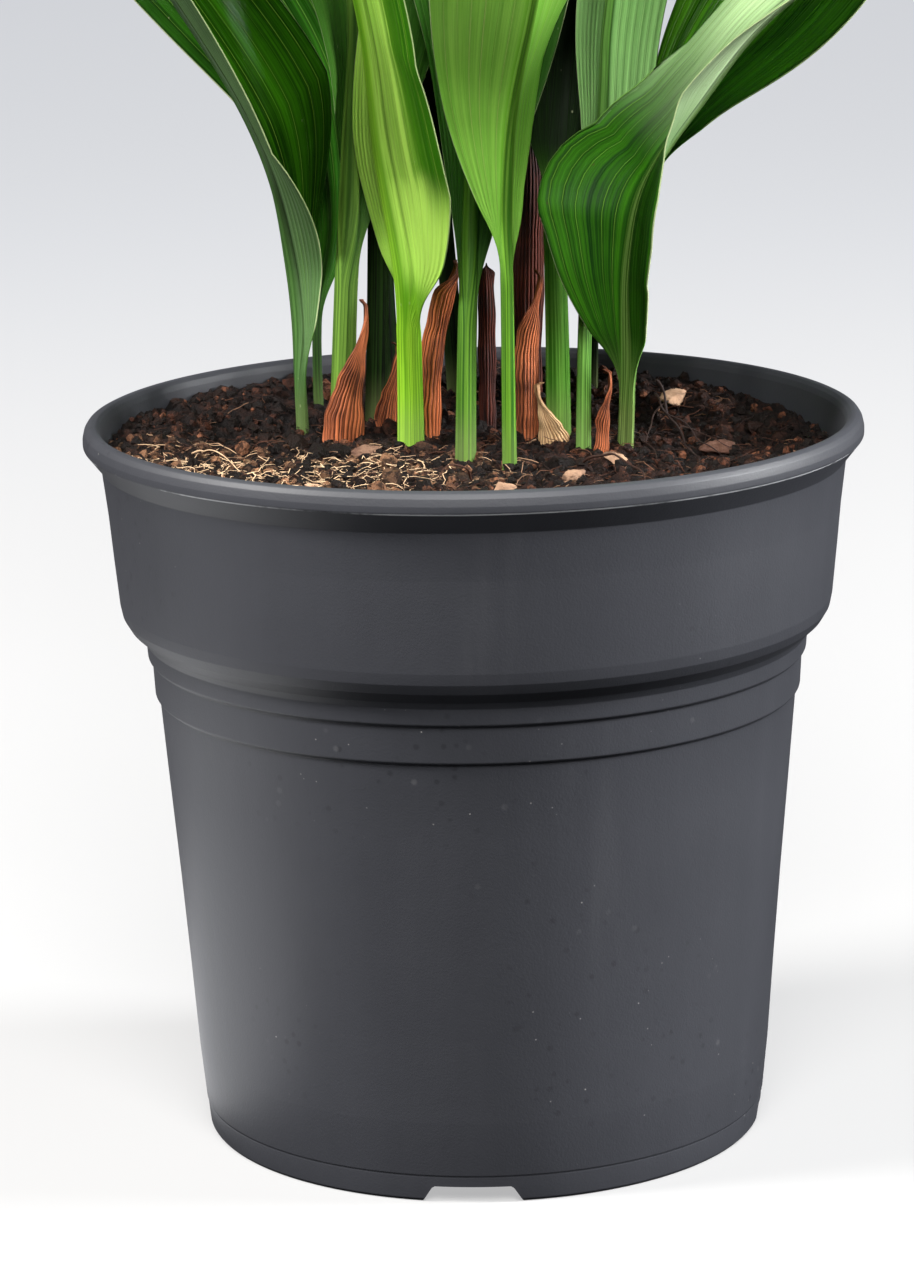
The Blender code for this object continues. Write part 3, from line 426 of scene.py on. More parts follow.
def leaf_finish(name, deep, light, vein, back, stem, matt, glow, lit_and_shaded=0.0, sheen_and_spots=0.0, shady=0.0,
                through=(0.25, 0.55, 0.02)):
    """Ribbed blade: long streaks between thin pale veins, painted shade in the furrows and beside the midrib,
    a hairline margin, a paler matt back and a streaked stalk. Some blades carry a pale yellow painted lit
    patch low down and on one side, with painted shade in streaks higher up on the other; some a painted sheen
    further out, with real brown spots; and shaded ones carry painted shade near the stalk, are dull there and
    turn greener far out."""
    deep, light, vein, back = tint(deep), tint(light), tint(vein), tint(back)
    stem_dark, stem_pale = tint(stem[0]), tint(stem[1])

    def draw(board):
        phase, along, own = board.attribute("phase"), board.attribute("along"), board.attribute("leaf_number")
        under, blade, edge = board.attribute("under"), board.attribute("blade"), board.attribute("edge")
        across = board.attribute("across")
        spot = board.place()

        def drawn_out(wide, long, scale, detail, rough=0.6):
            return board.noise(board.joined(wide, along * long, own), scale, detail, rough)

        broad = drawn_out(phase, 0.045, 0.85, 2, 0.5)
        streaks = drawn_out(phase * 4.0, 0.07, 1.5, 4)
        threads = drawn_out(phase * 26.0, 0.35, 1.0, 2)
        clouds = board.noise(spot, 26, 4, 0.6)
        near = (phase.math("FRACT") - 0.5).math("ABSOLUTE") * 2
        broken = drawn_out((phase + 0.5).math("FLOOR") * 3.7, 0.06, 1.0, 1, 0.55)
        vein_line = near.step(0.89, 0.98) * broken.step(0.34, 0.56) * blade
        furrow = near.step(0.40, 0.88) * (1 - near.step(0.89, 0.96)) * blade
        fine = drawn_out(phase * 9.0, 0.10, 1.5, 3)
        tone = (broad * 0.7 + streaks * 0.6 + fine * 0.45 + clouds * 0.45 - 0.60).step(0.24, 0.76)
        colour = board.mix(deep, light, tone)
        # Painted shade: the furrows between the veins darkened towards the deep colour.
        colour = board.mix(colour, deep, furrow * 0.55)
        colour = board.mix(colour, back, under * (clouds * 0.5 + 0.35))
        # Painted light and shade: a pale yellow lit patch low down and on one side, and dark shaded streaks
        # higher up on the other.
        if lit_and_shaded:
            uneven = across + streaks * 0.4
            left = uneven.step(-0.45, -0.10)
            low = along.step(0.6, 2.6) * (1 - along.step(4.2, 6.4)) * (1 - across.step(-0.7, 0.3) * 0.35)
            lit = (low * 1.3).math("MAXIMUM", left * 0.62 * along.step(0.6, 4.0)) * (streaks * 2.4 - 0.25)
            colour = board.mix(colour, (0.54, 0.87, 0.14), lit.step(0.05, 0.80) * blade * lit_and_shaded)
            shaded = (1 - uneven.step(-0.55, -0.20)) * along.step(3.2, 5.6) * streaks.step(0.30, 0.50)
            colour = board.mix(colour, (0.014, 0.110, 0.001), shaded * 0.85)
        # Painted sheen: a pale grey-green band far out along the blade; the brown pits drawn further down are
        # real spots.
        if sheen_and_spots:
            painted_sheen = along.step(7.5, 13.0) * (1 - along.step(15.0, 21.0) * 0.85)
            colour = board.mix(colour, (0.62, 0.82, 0.46), painted_sheen * blade * (streaks * 0.9 + 0.4) * sheen_and_spots)
        # Painted shade stays near the stalk of shaded blades; far out they turn to their own green.
        if shady:
            greener = along.step(7.0, 13.0) * blade * (tone * 0.5 + 0.25)
            colour = board.mix(colour, (0.020, 0.110, 0.006), greener)
        colour = board.mix(colour, vein, vein_line * 0.60)
        colour = board.mix(colour, deep, threads.step(0.50, 0.68) * 0.42)
        lines = drawn_out(phase * 2.6, 0.05, 1.5, 3)
        stalk = board.mix(stem_dark, stem_pale, (lines * 1.1 + broad * 0.4 - 0.30).step(0.30, 0.62))
        stalk = board.mix(stalk, [v * 0.5 for v in stem_dark], threads.step(0.50, 0.66) * 0.45)
        # On shaded blades the stalk colour stops at the neck, so the painted shade of the blade runs up the
        # midrib.
        midrib = (1 - phase.step(-0.45, 0.02)) * (1 - along.step(-1.5, 1.0) * shady)
        # Painted shade in the crease beside the midrib.
        beside = phase.step(-0.10, 0.06) * (1 - phase.step(0.10, 0.45)) * blade
        colour = board.mix(colour, deep, beside * 0.55)
        colour = board.mix(colour, stalk, (1 - blade).math("MAXIMUM", midrib * 0.9))
        foot = 1 - board.attribute("from_foot").step(2.2, 4.0)
        colour = board.mix(colour, (0.20, 0.24, 0.09), foot * (clouds * 0.5 + 0.05))
        colour = board.mix(colour, (0.64, 0.74, 0.40), (1 - edge.step(0.010, 0.030)) * blade * 0.8)
        marks = board.dots(board.vector("MULTIPLY", spot, (1.0, 1.0, 0.45)), 260, 0.035, 0.085)
        colour = board.mix(colour, (0.60, 0.62, 0.38), marks * clouds.step(0.52, 0.64) * 0.6)
        pits = board.dots(spot, 150, 0.05, 0.09, (0.4, 0.2, 0.9))
        colour = board.mix(colour, (0.10, 0.045, 0.02), pits * clouds.step(0.50, 0.62) * sheen_and_spots * 0.8)
        rough = matt + streaks * 0.32 + under * 0.14 + (1 - blade) * 0.06 + clouds * 0.14 - 0.18
        height = furrow * 0.30 - vein_line * 0.6 + streaks * 0.8 + threads * 0.25
        normal = board.bump(height + board.noise(spot, 900, 2) * 0.15, 0.6, 0.0006)
        skin = surface(board, colour, rough, normal, Specular_IOR_Level=0.05 if shady else 0.18)
        shine = board.add("ShaderNodeBsdfTranslucent", {}, {"Color": (*through, 1.0)})
        share = blade * (streaks * 0.5 + 0.7) * glow
        return board.add("ShaderNodeMixShader", {}, {0: share, 1: skin, 2: shine})
    return material(name, draw)


def sheath_finish(name, dark, warm, pale, ends=0.6):
    """Dry papery leaf base: fine ribs along it with painted highlights on them, dark between them, a pale,
    faded ragged foot, a scorched tip.
    """
    def draw(board):
        ribs, along = board.attribute("ribs"), board.attribute("along")
        spot = board.place()
        threads = board.noise(board.joined(ribs * 2.6, along * 0.16, 0.0), 1.5, 5, 0.62)
        patches = board.noise(spot, 55, 3, 0.55)
        groove = ((ribs.math("FRACT") - 0.5).math("ABSOLUTE") * 2).step(0.45, 1.0)
        colour = board.mix(dark, warm, (threads * 0.8 + patches * 0.5 - 0.15).step(0.38, 0.60))
        # Painted highlights along the rib threads.
        colour = board.mix(colour, [v * 1.25 for v in warm], threads.step(0.60, 0.72) * 0.8)
        colour = board.mix(colour, [v * 0.5 for v in dark], groove * 0.75)
        height = board.attribute("height")
        ragged = (height + threads * 0.35 - 0.16).step(0.10, 0.24)
        colour = board.mix(colour, pale, (1 - ragged) * (patches * 0.7 + 0.3) * ends)
        colour = board.mix(colour, [v * 0.4 for v in dark], height.step(0.86, 1.0) * ends)
        bump = board.bump(threads * 0.8 - groove * 0.7 + board.noise(spot, 700, 3) * 0.3, 0.7, 0.0008)
        return surface(board, colour, 0.55 + threads * 0.25, bump, Specular_IOR_Level=0.3)
    return material(name, draw)


def pot_plastic(board):
    """Dark moulded plastic: a fine satin grain, faint upright scuffs, dried water spots, a little dust and a
    painted highlight along the lip's lower edge.
    """
    spot = board.place()
    clouds = board.noise(spot, 9, 4, 0.6)
    scuffs = board.noise(spot, 30, 5, 0.65, (1.0, 1.0, 0.08))
    grain = board.noise(spot, 1500, 2, 0.5)
    patchy = board.noise(spot, 14, 3, 0.6).step(0.50, 0.66)
    dust = board.dots(spot, 210, 0.030, 0.070) * patchy
    drops = board.dots(spot, 85, 0.05, 0.11, (0.2, 0.5, 0.1)) * patchy
    damp = board.dots(spot, 190, 0.10, 0.24, (0.7, 0.1, 0.3)) * patchy
    colour = board.mix((0.022, 0.023, 0.028), (0.044, 0.046, 0.055), clouds * 0.6 + scuffs * 0.5 - 0.1)
    colour = board.mix(colour, (0.012, 0.012, 0.015), damp * 0.45)
    colour = board.mix(colour, (0.14, 0.14, 0.145), drops * 0.20 + scuffs.step(0.62, 0.80) * 0.05)
    colour = board.mix(colour, (0.42, 0.41, 0.40), dust * 0.5)
    # Painted highlight: a thin pale line along the lip's lower edge.
    rim = board.reach(spot, (1.0, 1.0, 0.0)).step(LIP_GLINT_RADIUS * CM, (LIP_GLINT_RADIUS + 0.05) * CM)
    lip_glint = 1 - (spot.split("Z") - LIP_GLINT_HEIGHT * CM).math("ABSOLUTE").step(0.00010, 0.00032)
    colour = board.mix(colour, (0.55, 0.56, 0.58), lip_glint * rim * scuffs.step(0.40, 0.55) * 0.8)
    rough = 0.47 + clouds * 0.10 + scuffs.step(0.55, 0.8) * 0.03 + drops * 0.08
    normal = board.bump(grain * 0.5 + board.noise(spot, 260, 3) * 0.5 + scuffs * 0.4, 0.16, 0.0006)
    return surface(board, colour, rough, normal, Specular_IOR_Level=0.4)


def straw_share(board, spot):
    """Where the soil is strawy: the front left, and patches elsewhere."""
    there = (-STRAW_AT[0] * CM, -STRAW_AT[1] * CM, 0.0)
    far = board.reach(board.vector("ADD", spot, there), (14.0, 24.0, 0.0))
    return (1 - far.step(0.35, 1.25)) * 0.75 + board.noise(spot, 34, 4, 0.6).step(0.60, 0.78) * 0.25


def peat(board):
    """Damp dark peat with red-brown fibre in it, with painted shade that makes it almost black in its
    hollows.
    """
    spot = board.place()
    clods = board.noise(spot, 120, 6, 0.7)
    fibres = board.noise(spot, 190, 5, 0.7, (1.0, 0.18, 0.6))
    cross = board.noise(spot, 190, 5, 0.7, (0.18, 1.0, 0.6))
    colour = board.mix((0.003, 0.0015, 0.0015), (0.030, 0.012, 0.008), clods.step(0.38, 0.70))
    colour = board.mix(colour, (0.15, 0.055, 0.028), fibres.step(0.57, 0.70) * 0.6)
    colour = board.mix(colour, (0.50, 0.30, 0.17), cross.step(0.55, 0.66) * straw_share(board, spot))
    # Painted shade: the hollows of the broken surface darkened almost to black.
    colour = board.mix(colour, (0.002, 0.001, 0.001), (1 - board.attribute("raised").step(0.15, 0.60)) * 0.9)
    normal = board.bump(clods * 0.7 + fibres * 0.5 + board.noise(spot, 600, 4, 0.7) * 0.5, 1.0, 0.0026)
    return surface(board, colour, 0.60 + clods * 0.25, normal, Specular_IOR_Level=0.14)


def crumb(board):
    """Loose crumbs of peat, each with its own tone, damp enough to glint."""
    spot, tone = board.place(), board.attribute("tone")
    flecks = board.noise(spot, 420, 5, 0.7)
    straw = straw_share(board, spot)
    colour = board.mix((0.003, 0.0014, 0.0012), (0.060, 0.019, 0.010), (tone * tone * tone).step(0.05, 0.95))
    colour = board.mix(colour, (0.20, 0.075, 0.038), tone.step(0.93, 0.99) * 0.8)
    colour = board.mix(colour, (0.44, 0.235, 0.125), straw * tone.step(0.50, 1.0) * 0.75)
    colour = board.mix(colour, (0.006, 0.003, 0.002), flecks.step(0.42, 0.58) * 0.85)
    normal = board.bump(flecks, 1.0, 0.0020)
    return surface(board, colour, 0.45 + flecks * 0.35, normal, Specular_IOR_Level=0.16)


def fibre(board):
    """Straw and root fibre, from dark brown to pale tan."""
    spot, tone = board.place(), board.attribute("tone")
    threads = board.noise(spot, 700, 3, 0.6)
    straw = straw_share(board, spot)
    paler = (tone * 0.9 + straw * 0.3).step(0.20, 0.95)
    colour = board.mix((0.010, 0.004, 0.003), (0.105, 0.038, 0.020), paler)
    colour = board.mix(colour, (0.82, 0.58, 0.36), (tone + straw * 0.6).step(0.80, 1.05) * (straw + 0.12))
    colour = board.mix(colour, (0.02, 0.010, 0.006), threads.step(0.5, 0.7) * 0.5)
    normal = board.bump(threads, 0.5, 0.0006)
    return surface(board, colour, 0.60 + threads * 0.2, normal, Specular_IOR_Level=0.20)


def bark(board):
    """Weathered bark: layered, red-brown to tan, with a rough broken skin."""
    spot, tone = board.place(), board.attribute("tone")
    layers = board.noise(spot, 170, 5, 0.65, (1.0, 0.4, 2.2))
    patches = board.noise(spot, 90, 4, 0.6)
    paler = (patches * 0.7 + tone * 0.75 - 0.34).step(0.1, 0.8)
    colour = board.mix((0.075, 0.030, 0.018), (0.44, 0.27, 0.17), paler)
    colour = board.mix(colour, (0.035, 0.015, 0.009), layers.step(0.52, 0.68) * 0.7)
    colour = board.mix(colour, (0.60, 0.45, 0.28), layers.step(0.66, 0.8) * 0.5)
    normal = board.bump(layers + board.noise(spot, 520, 4, 0.7) * 0.6, 0.8, 0.0018)
    return surface(board, colour, 0.74 + patches * 0.18, normal, Specular_IOR_Level=0.35)


def root_skin(board):
    """Creeping rootstock: pale tan with brown rings and scars."""
    spot = board.place()
    rings = board.noise(spot, 130, 4, 0.6)
    colour = board.mix((0.17, 0.10, 0.05), (0.44, 0.33, 0.19), rings.step(0.35, 0.65))
    return surface(board, colour, 0.62 + rings * 0.2, board.bump(rings, 0.6, 0.002))


def pale_floor(board):
    """A white sweep that turns to a cool pale grey far from the pot."""
    far = board.reach(board.place(), (1.0, 1.0, 0.0))
    soft = board.noise(board.place(), 3, 2, 0.5)
    glow = board.mix((0.46, 0.46, 0.465), (0.56, 0.56, 0.565), far.step(0.16, 0.70))
    glow = board.mix(glow, (0.535, 0.550, 0.582), far.step(0.6, 2.0))
    glow = board.mix(glow, (0.570, 0.585, 0.620), far.step(1.8, 3.6))
    return surface(board, (0.20, 0.20, 0.20, 1.0), 0.85 + soft * 0.05, None, Emission_Color=glow,
                   Emission_Strength=1.0, Specular_IOR_Level=0.0)


# Mesh helpers

def ease(x):
    """A soft rise from 0 to 1."""
    x = np.clip(x, 0.0, 1.0)
    return x * x * (3 - 2 * x)


def in_scene(name, data):
    """A new object for this mesh, light or camera, linked into the scene."""
    obj = bpy.data.objects.new(name, data)
    bpy.context.scene.collection.objects.link(obj)
    return obj


def mesh_piece(name, points, faces, finish, marks=None):
    """A mesh object from points in centimetres, with named values on its points."""
    mesh = bpy.data.meshes.new(name)
    mesh.from_pydata((np.asarray(points, float) * CM).tolist(), [], faces)
    for key, values in (marks or {}).items():
        values = np.asarray(values, np.float32).ravel()
        mesh.attributes.new(key, "FLOAT", "POINT").data.foreach_set("value", values)
    mesh.polygons.foreach_set("use_smooth", [True] * len(mesh.polygons))
    mesh.materials.append(finish)
    mesh.update()
    return outward(in_scene(name, mesh))


def outward(obj, merge=0.0):
    """Turns every face outward, closing doubled points first where asked."""
    bm = bmesh.new()
    bm.from_mesh(obj.data)
    if merge:
        bmesh.ops.remove_doubles(bm, verts=bm.verts, dist=merge)
    bmesh.ops.recalc_face_normals(bm, faces=bm.faces)
    bm.to_mesh(obj.data)
    bm.free()
    return obj


def as_mesh(obj):
    """What the object's modifiers make of it, as a plain mesh."""
    bpy.context.view_layer.update()
    return bpy.data.meshes.new_from_object(obj.evaluated_get(bpy.context.evaluated_depsgraph_get()))


def grown_from(obj, tree, settings):
    """Runs a node tree on the object with these named settings and keeps the result as a plain mesh."""
    step = obj.modifiers.new("grown", "NODES")
    step.node_group = tree
    for item in tree.interface.items_tree:
        if item.item_type == "SOCKET" and item.in_out == "INPUT" and item.name in settings:
            step[item.identifier] = settings[item.name]
    mesh, old = as_mesh(obj), obj.data
    obj.modifiers.remove(step)
    obj.data = mesh
    bpy.data.meshes.remove(old)
    return obj


def rule(name, inputs):
    """An empty geometry tree with named inputs; returns its board and the inputs as wires."""
    tree = bpy.data.node_groups.new(name, "GeometryNodeTree")
    tree.interface.new_socket("Geometry", in_out="INPUT", socket_type="NodeSocketGeometry")
    tree.interface.new_socket("Geometry", in_out="OUTPUT", socket_type="NodeSocketGeometry")
    for key, kind in inputs.items():
        tree.interface.new_socket(key, in_out="INPUT", socket_type=kind)
    board = Board(tree)
    entry = tree.nodes.new("NodeGroupInput")
    return board, {key: Wire(board, entry.outputs[key]) for key in ("Geometry", *inputs)}


def end_rule(board, geometry, finish):
    """Real mesh, one material, and out."""
    real = board.add("GeometryNodeRealizeInstances", {}, {"Geometry": geometry})
    done = board.add("GeometryNodeSetMaterial", {}, {"Geometry": real, "Material": finish})
    board.add("NodeGroupOutput", {}, {"Geometry": done})
    return board.tree


def spread(board, kind, low, high, seed):
    """A random number or vector between two limits."""
    slots = {"FLOAT": (2, 3, 1), "FLOAT_VECTOR": (0, 1, 0), "INT": (4, 5, 2)}[kind]
    return board.add("FunctionNodeRandomValue", {"data_type": kind},
                     {slots[0]: low, slots[1]: high, "Seed": seed}, slots[2])


def joined_geometry(board, *parts):
    """Several geometries as one, in their order."""
    node = board.tree.nodes.new("GeometryNodeJoinGeometry")
    for part in reversed(parts):
        board.tree.links.new(part.socket, node.inputs[0])
    return Wire(board, node.outputs[0])


# Pot

def turning_rule(finish):
    """Rounds the corners of a profile line and turns it about the axis."""
    board, given = rule("turned_pot", {"Segments": "NodeSocketInt", "Corner": "NodeSocketFloat",
                                       "Turn": "NodeSocketFloat"})
    line = board.add("GeometryNodeMeshToCurve", {}, {"Mesh": given["Geometry"]})
    line = board.add("GeometryNodeFilletCurve", {"mode": "POLY"},
                     {"Curve": line, "Count": 3, "Radius": given["Corner"], "Limit Radius": True})
    count = board.add("GeometryNodeAttributeDomainSize", {"component": "CURVE"}, {"Geometry": line},
                      "Point Count")
    across = given["Segments"] + 1
    grid = board.add("GeometryNodeMeshGrid", {}, {"Size X": 1.0, "Size Y": 1.0, "Vertices X": across,
                                                  "Vertices Y": count})
    index = board.add("GeometryNodeInputIndex")
    column = (index / count).math("FLOOR")
    row = index - column * count
    at = board.add("GeometryNodeSampleIndex", {"data_type": "FLOAT_VECTOR", "domain": "POINT"},
                   {"Geometry": line, "Value": board.add("GeometryNodeInputPosition"), "Index": row})
    angle = column * (2 * math.pi) / given["Segments"] + given["Turn"]
    radius, height = at.split("X"), at.split("Z")
    turned = board.joined(radius * angle.math("COSINE"), radius * angle.math("SINE"), height)
    wall = board.add("GeometryNodeSetPosition", {}, {"Geometry": grid, "Position": turned})
    closed = board.add("GeometryNodeMergeByDistance", {}, {"Geometry": wall, "Distance": 1e-6})
    return end_rule(board, closed, finish)


def profile_line(name, profile):
    """An open line of points at these distances from the axis and heights."""
    mesh = bpy.data.meshes.new(name)
    edges = [(k, k + 1) for k in range(len(profile) - 1)]
    mesh.from_pydata([(r * CM, 0.0, z * CM) for r, z in profile], edges, [])
    return in_scene(name, mesh)


def cut_away(obj, cutters):
    """Cuts several closed helpers out of the object and removes them."""
    group = bpy.data.collections.new("cutters")
    bpy.context.scene.collection.children.link(group)
    for cutter in cutters:
        bpy.context.scene.collection.objects.unlink(cutter)
        group.objects.link(cutter)
    step = obj.modifiers.new("cut", "BOOLEAN")
    step.operand_type = "COLLECTION"
    step.collection = group
    step.solver = "EXACT"
    mesh = as_mesh(obj)
    obj.modifiers.remove(step)
    obj.data = mesh
    for cutter in list(group.objects):
        bpy.data.objects.remove(cutter, do_unlink=True)
    bpy.data.collections.remove(group)
    return obj


def foot_notch(turn_degrees, finish):
    """Cutter for one of the four low openings in the foot."""
    low, high, rise = NOTCH_LOW / 2, NOTCH_HIGH / 2, NOTCH_RISE
    half = ((low + 0.25, -0.4), (high + 0.08, rise - 0.12), (high + 0.03, rise - 0.05), (high - 0.05, rise))
    outline = [(-half[0][0], half[0][1]), *half, *[(-y, z) for y, z in half[:0:-1]]]
    a = math.radians(turn_degrees)
    points = [(r * math.cos(a) - y * math.sin(a), r * math.sin(a) + y * math.cos(a), z)
              for r in NOTCH_REACH for y, z in outline]
    n = len(outline)
    faces = [tuple(range(n)), tuple(range(2 * n - 1, n - 1, -1))]
    faces += [(k, k + n, (k + 1) % n + n, (k + 1) % n) for k in range(n)]
    return mesh_piece("foot_notch", points, faces, finish)


def drain_hole(number, finish):
    """Cutter for one of the round holes in the floor."""
    a = math.radians(POT_TURN + 22.5 + 360 * number / DRAIN_COUNT)
    at = (DRAIN_RING * math.cos(a), DRAIN_RING * math.sin(a))
    return tube("drain_hole", [(*at, 0.3), (*at, 1.3)], (DRAIN_RADIUS, DRAIN_RADIUS), finish, 32)


def make_pot(finish):
    """The pot: its profile turned, then the foot openings and the drain holes cut out."""
    profile = [(0, FLOOR_UNDER), (FOOT_INSIDE - FOOT_DRAFT, FLOOR_UNDER), (FOOT_INSIDE, 0), *POT_OUTSIDE,
               *POT_INSIDE, (0, POT_INSIDE[-1][1])]
    pot = grown_from(profile_line("pot_moulded", profile), turning_rule(finish),
                     {"Segments": POT_SEGMENTS, "Corner": CORNER * CM, "Turn": math.radians(POT_TURN)})
    outward(pot, 1e-6)
    cutters = [foot_notch(POT_TURN - 90 + 90 * k, finish) for k in range(4)]
    cutters += [drain_hole(k, finish) for k in range(DRAIN_COUNT)]
    cut_away(pot, cutters)
    pot.data.materials.clear()
    pot.data.materials.append(finish)
    pot.data.polygons.foreach_set("use_smooth", [True] * len(pot.data.polygons))
    pot.data.set_sharp_from_angle(angle=math.radians(40))
    return place_piece(pot, "pot_plastic", "pot")


def place_piece(obj, slot, *nodes):
    """The piece rides on the plant and may stand for nodes; the slot is not used."""
    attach(obj, BODY)
    if nodes:
        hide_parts(*nodes)
    return obj


# Soil

def soil_lumps():
    """Seeded low lumps and hollows: place, size and height."""
    rng = np.random.default_rng(SEED)
    lumps = []
    for _ in range(LUMP_COUNT):
        r = LUMP_REACH * math.sqrt(rng.uniform(0.02, 1))
        a = rng.uniform(0, 2 * math.pi)
        lumps.append((r * math.cos(a), r * math.sin(a), rng.uniform(0.8, 2.0), rng.uniform(-0.22, 0.38)))
    return lumps


LUMPS = soil_lumps()


def soil_height(x, y):
    """The large form of the top of the soil, in centimetres."""
    r = np.hypot(x, y)
    heaped = 0.80 + 0.25 * ease(y / 8) - 0.45 * ease((x - 5) / 5)
    z = SOIL_LEVEL + heaped * ease((r - 6.8) / 4)
    for cx, cy, size, high in LUMPS:
        z += high * np.exp(-((x - cx) ** 2 + (y - cy) ** 2) / size ** 2)
    return np.minimum(z, SOIL_CREST)


def crumbled(x, y):
    """How far the broken surface stands above or below the large form."""
    at = Vector((x, y, 0.0))
    near = noise.voronoi(at * 1.5)[0]
    clods = 0.42 * (0.36 - min(near[0], 0.62)) + 0.26 * (0.33 - min(noise.voronoi(at * 3.3)[0][0], 0.5))
    return clods + 0.17 * noise.fractal(at * 2.1, 0.75, 2.1, 6)


def disc_faces(rings, parts):
    """Faces of a disc: a fan round point 0, then bands between the rings."""
    faces = [(0, 1 + k, 1 + (k + 1) % parts) for k in range(parts)]
    for i in range(rings - 1):
        a, b = 1 + i * parts, 1 + (i + 1) * parts
        faces += [(a + k, b + k, b + (k + 1) % parts, a + (k + 1) % parts) for k in range(parts)]
    return faces


def make_soil(finish):
    """The peat: a disc with a broken top that runs down inside the pot's wall to the floor."""
    rings, parts = SOIL_RINGS, SOIL_PARTS
    edge = POT_INSIDE[0][0] - 0.03
    radii = edge * (np.arange(1, rings + 1) / rings) ** 0.85
    angle = 2 * np.pi * np.arange(parts) / parts
    x, y = np.outer(radii, np.cos(angle)), np.outer(radii, np.sin(angle))
    broken = np.array([[crumbled(a, b) for a, b in zip(*row)] for row in zip(x, y)])
    z = np.minimum(soil_height(x, y) + broken, SOIL_BRIM)
    lean = 1 - np.clip(POT_INSIDE[0][1] - z[-1], 0, 3) * WALL_LEAN / edge
    x[-1], y[-1] = x[-1] * lean, y[-1] * lean
    points = [(0, 0, float(soil_height(0.0, 0.0)))]
    points += [tuple(p) for p in np.stack([x, y, z], -1).reshape(-1, 3)]
    raised = [0.5, *np.clip(0.5 + broken / 0.45, 0, 1).ravel()]
    wall = [(r - 0.04, h) for r, h in POT_INSIDE if h < SOIL_LEVEL]
    wall[-1] = (wall[-1][0] - 0.02, SOIL_UNDER)
    for r, h in wall:
        points += [(r * c, r * s, h) for c, s in zip(np.cos(angle), np.sin(angle))]
    points.append((0, 0, SOIL_UNDER))
    count = rings + len(wall)
    faces = disc_faces(count, parts)
    last = 1 + (count - 1) * parts
    faces += [(last + (k + 1) % parts, last + k, len(points) - 1) for k in range(parts)]
    raised += [0.5] * (len(points) - len(raised))
    plug = mesh_piece("soil_plug", points, faces, finish, marks={"raised": raised})
    return place_piece(plug, "peat_soil", "soil")


def top_of(soil, name, margin):
    """A copy of the soil's upper skin to scatter on, short of the wall by the margin in metres."""
    bm = bmesh.new()
    bm.from_mesh(soil.data)
    reach = POT_INSIDE[0][0] * CM - margin
    hidden = [f for f in bm.faces if f.normal.z < 0.25 or f.calc_center_median().z < 0.2
              or f.calc_center_median().xy.length > reach]
    bmesh.ops.delete(bm, geom=hidden, context="FACES")
    mesh = bpy.data.meshes.new(name)
    bm.to_mesh(mesh)
    bm.free()
    return in_scene(name, mesh)


def picked_on_points(board, given, shapes, size, turn, seed, strawy=1.0):
    """Puts one of the shapes at each scattered point, with its own size, turn and tone. Where the soil is
    strawy, strawy times as many."""
    kinds = joined_geometry(board, *[board.add("GeometryNodeGeometryToInstance", {}, {"Geometry": s})
                                     for s in shapes])
    straw = straw_share(board, board.add("GeometryNodeInputPosition"))
    density = given["Density"] * (straw * strawy + (1 - straw))
    points = board.add("GeometryNodeDistributePointsOnFaces", {}, {"Mesh": given["Geometry"],
                                                                   "Density": density, "Seed": seed})
    which = spread(board, "INT", 0, len(shapes) - 1, seed + 1)
    placed = board.add("GeometryNodeInstanceOnPoints", {}, {
        "Points": points, "Instance": kinds, "Pick Instance": True, "Instance Index": which,
        "Rotation": turn, "Scale": size})
    tone = spread(board, "FLOAT", 0.0, 1.0, seed + 2)
    return board.add("GeometryNodeStoreNamedAttribute", {"data_type": "FLOAT", "domain": "INSTANCE"},
                     {"Geometry": placed, "Name": "tone", "Value": tone})


def pulled(board, shape, shift, scale, detail, rough, reach, middle=(0.5, 0.5, 0.5)):
    """The shape with its points moved about by a noise that starts from the shift."""
    at = board.vector("ADD", board.add("GeometryNodeInputPosition"), shift)
    move = board.add("ShaderNodeTexNoise", {}, {"Vector": at, "Scale": scale, "Detail": detail,
                                                "Roughness": rough}, 1)
    move = board.vector("MULTIPLY", board.vector("SUBTRACT", move, middle), reach)
    return board.add("GeometryNodeSetPosition", {}, {"Geometry": shape, "Offset": move})


def crumb_rule(finish):
    """Broken crumbs: small lumps pulled out of shape, most of them very small."""
    board, given = rule("loose_crumbs", {"Density": "NodeSocketFloat", "Largest": "NodeSocketFloat",
                                         "Rounds": "NodeSocketInt", "Seed": "NodeSocketInt"})
    ball = board.add("GeometryNodeMeshIcoSphere", {}, {"Radius": 1.0, "Subdivisions": given["Rounds"]})
    shapes = [pulled(board, ball, (k * 7.3, 1.1 * k, 0.0), 0.9, 3.0, 0.7, (2.6, 2.2, 1.8)) for k in range(6)]
    size = spread(board, "FLOAT", 0.0, 1.0, 71) ** 3.2 * given["Largest"] + given["Largest"] * 0.16
    turn = spread(board, "FLOAT_VECTOR", (0, 0, 0), (6.28, 6.28, 6.28), 72)
    return end_rule(board, picked_on_points(board, given, shapes, size, turn, given["Seed"]), finish)


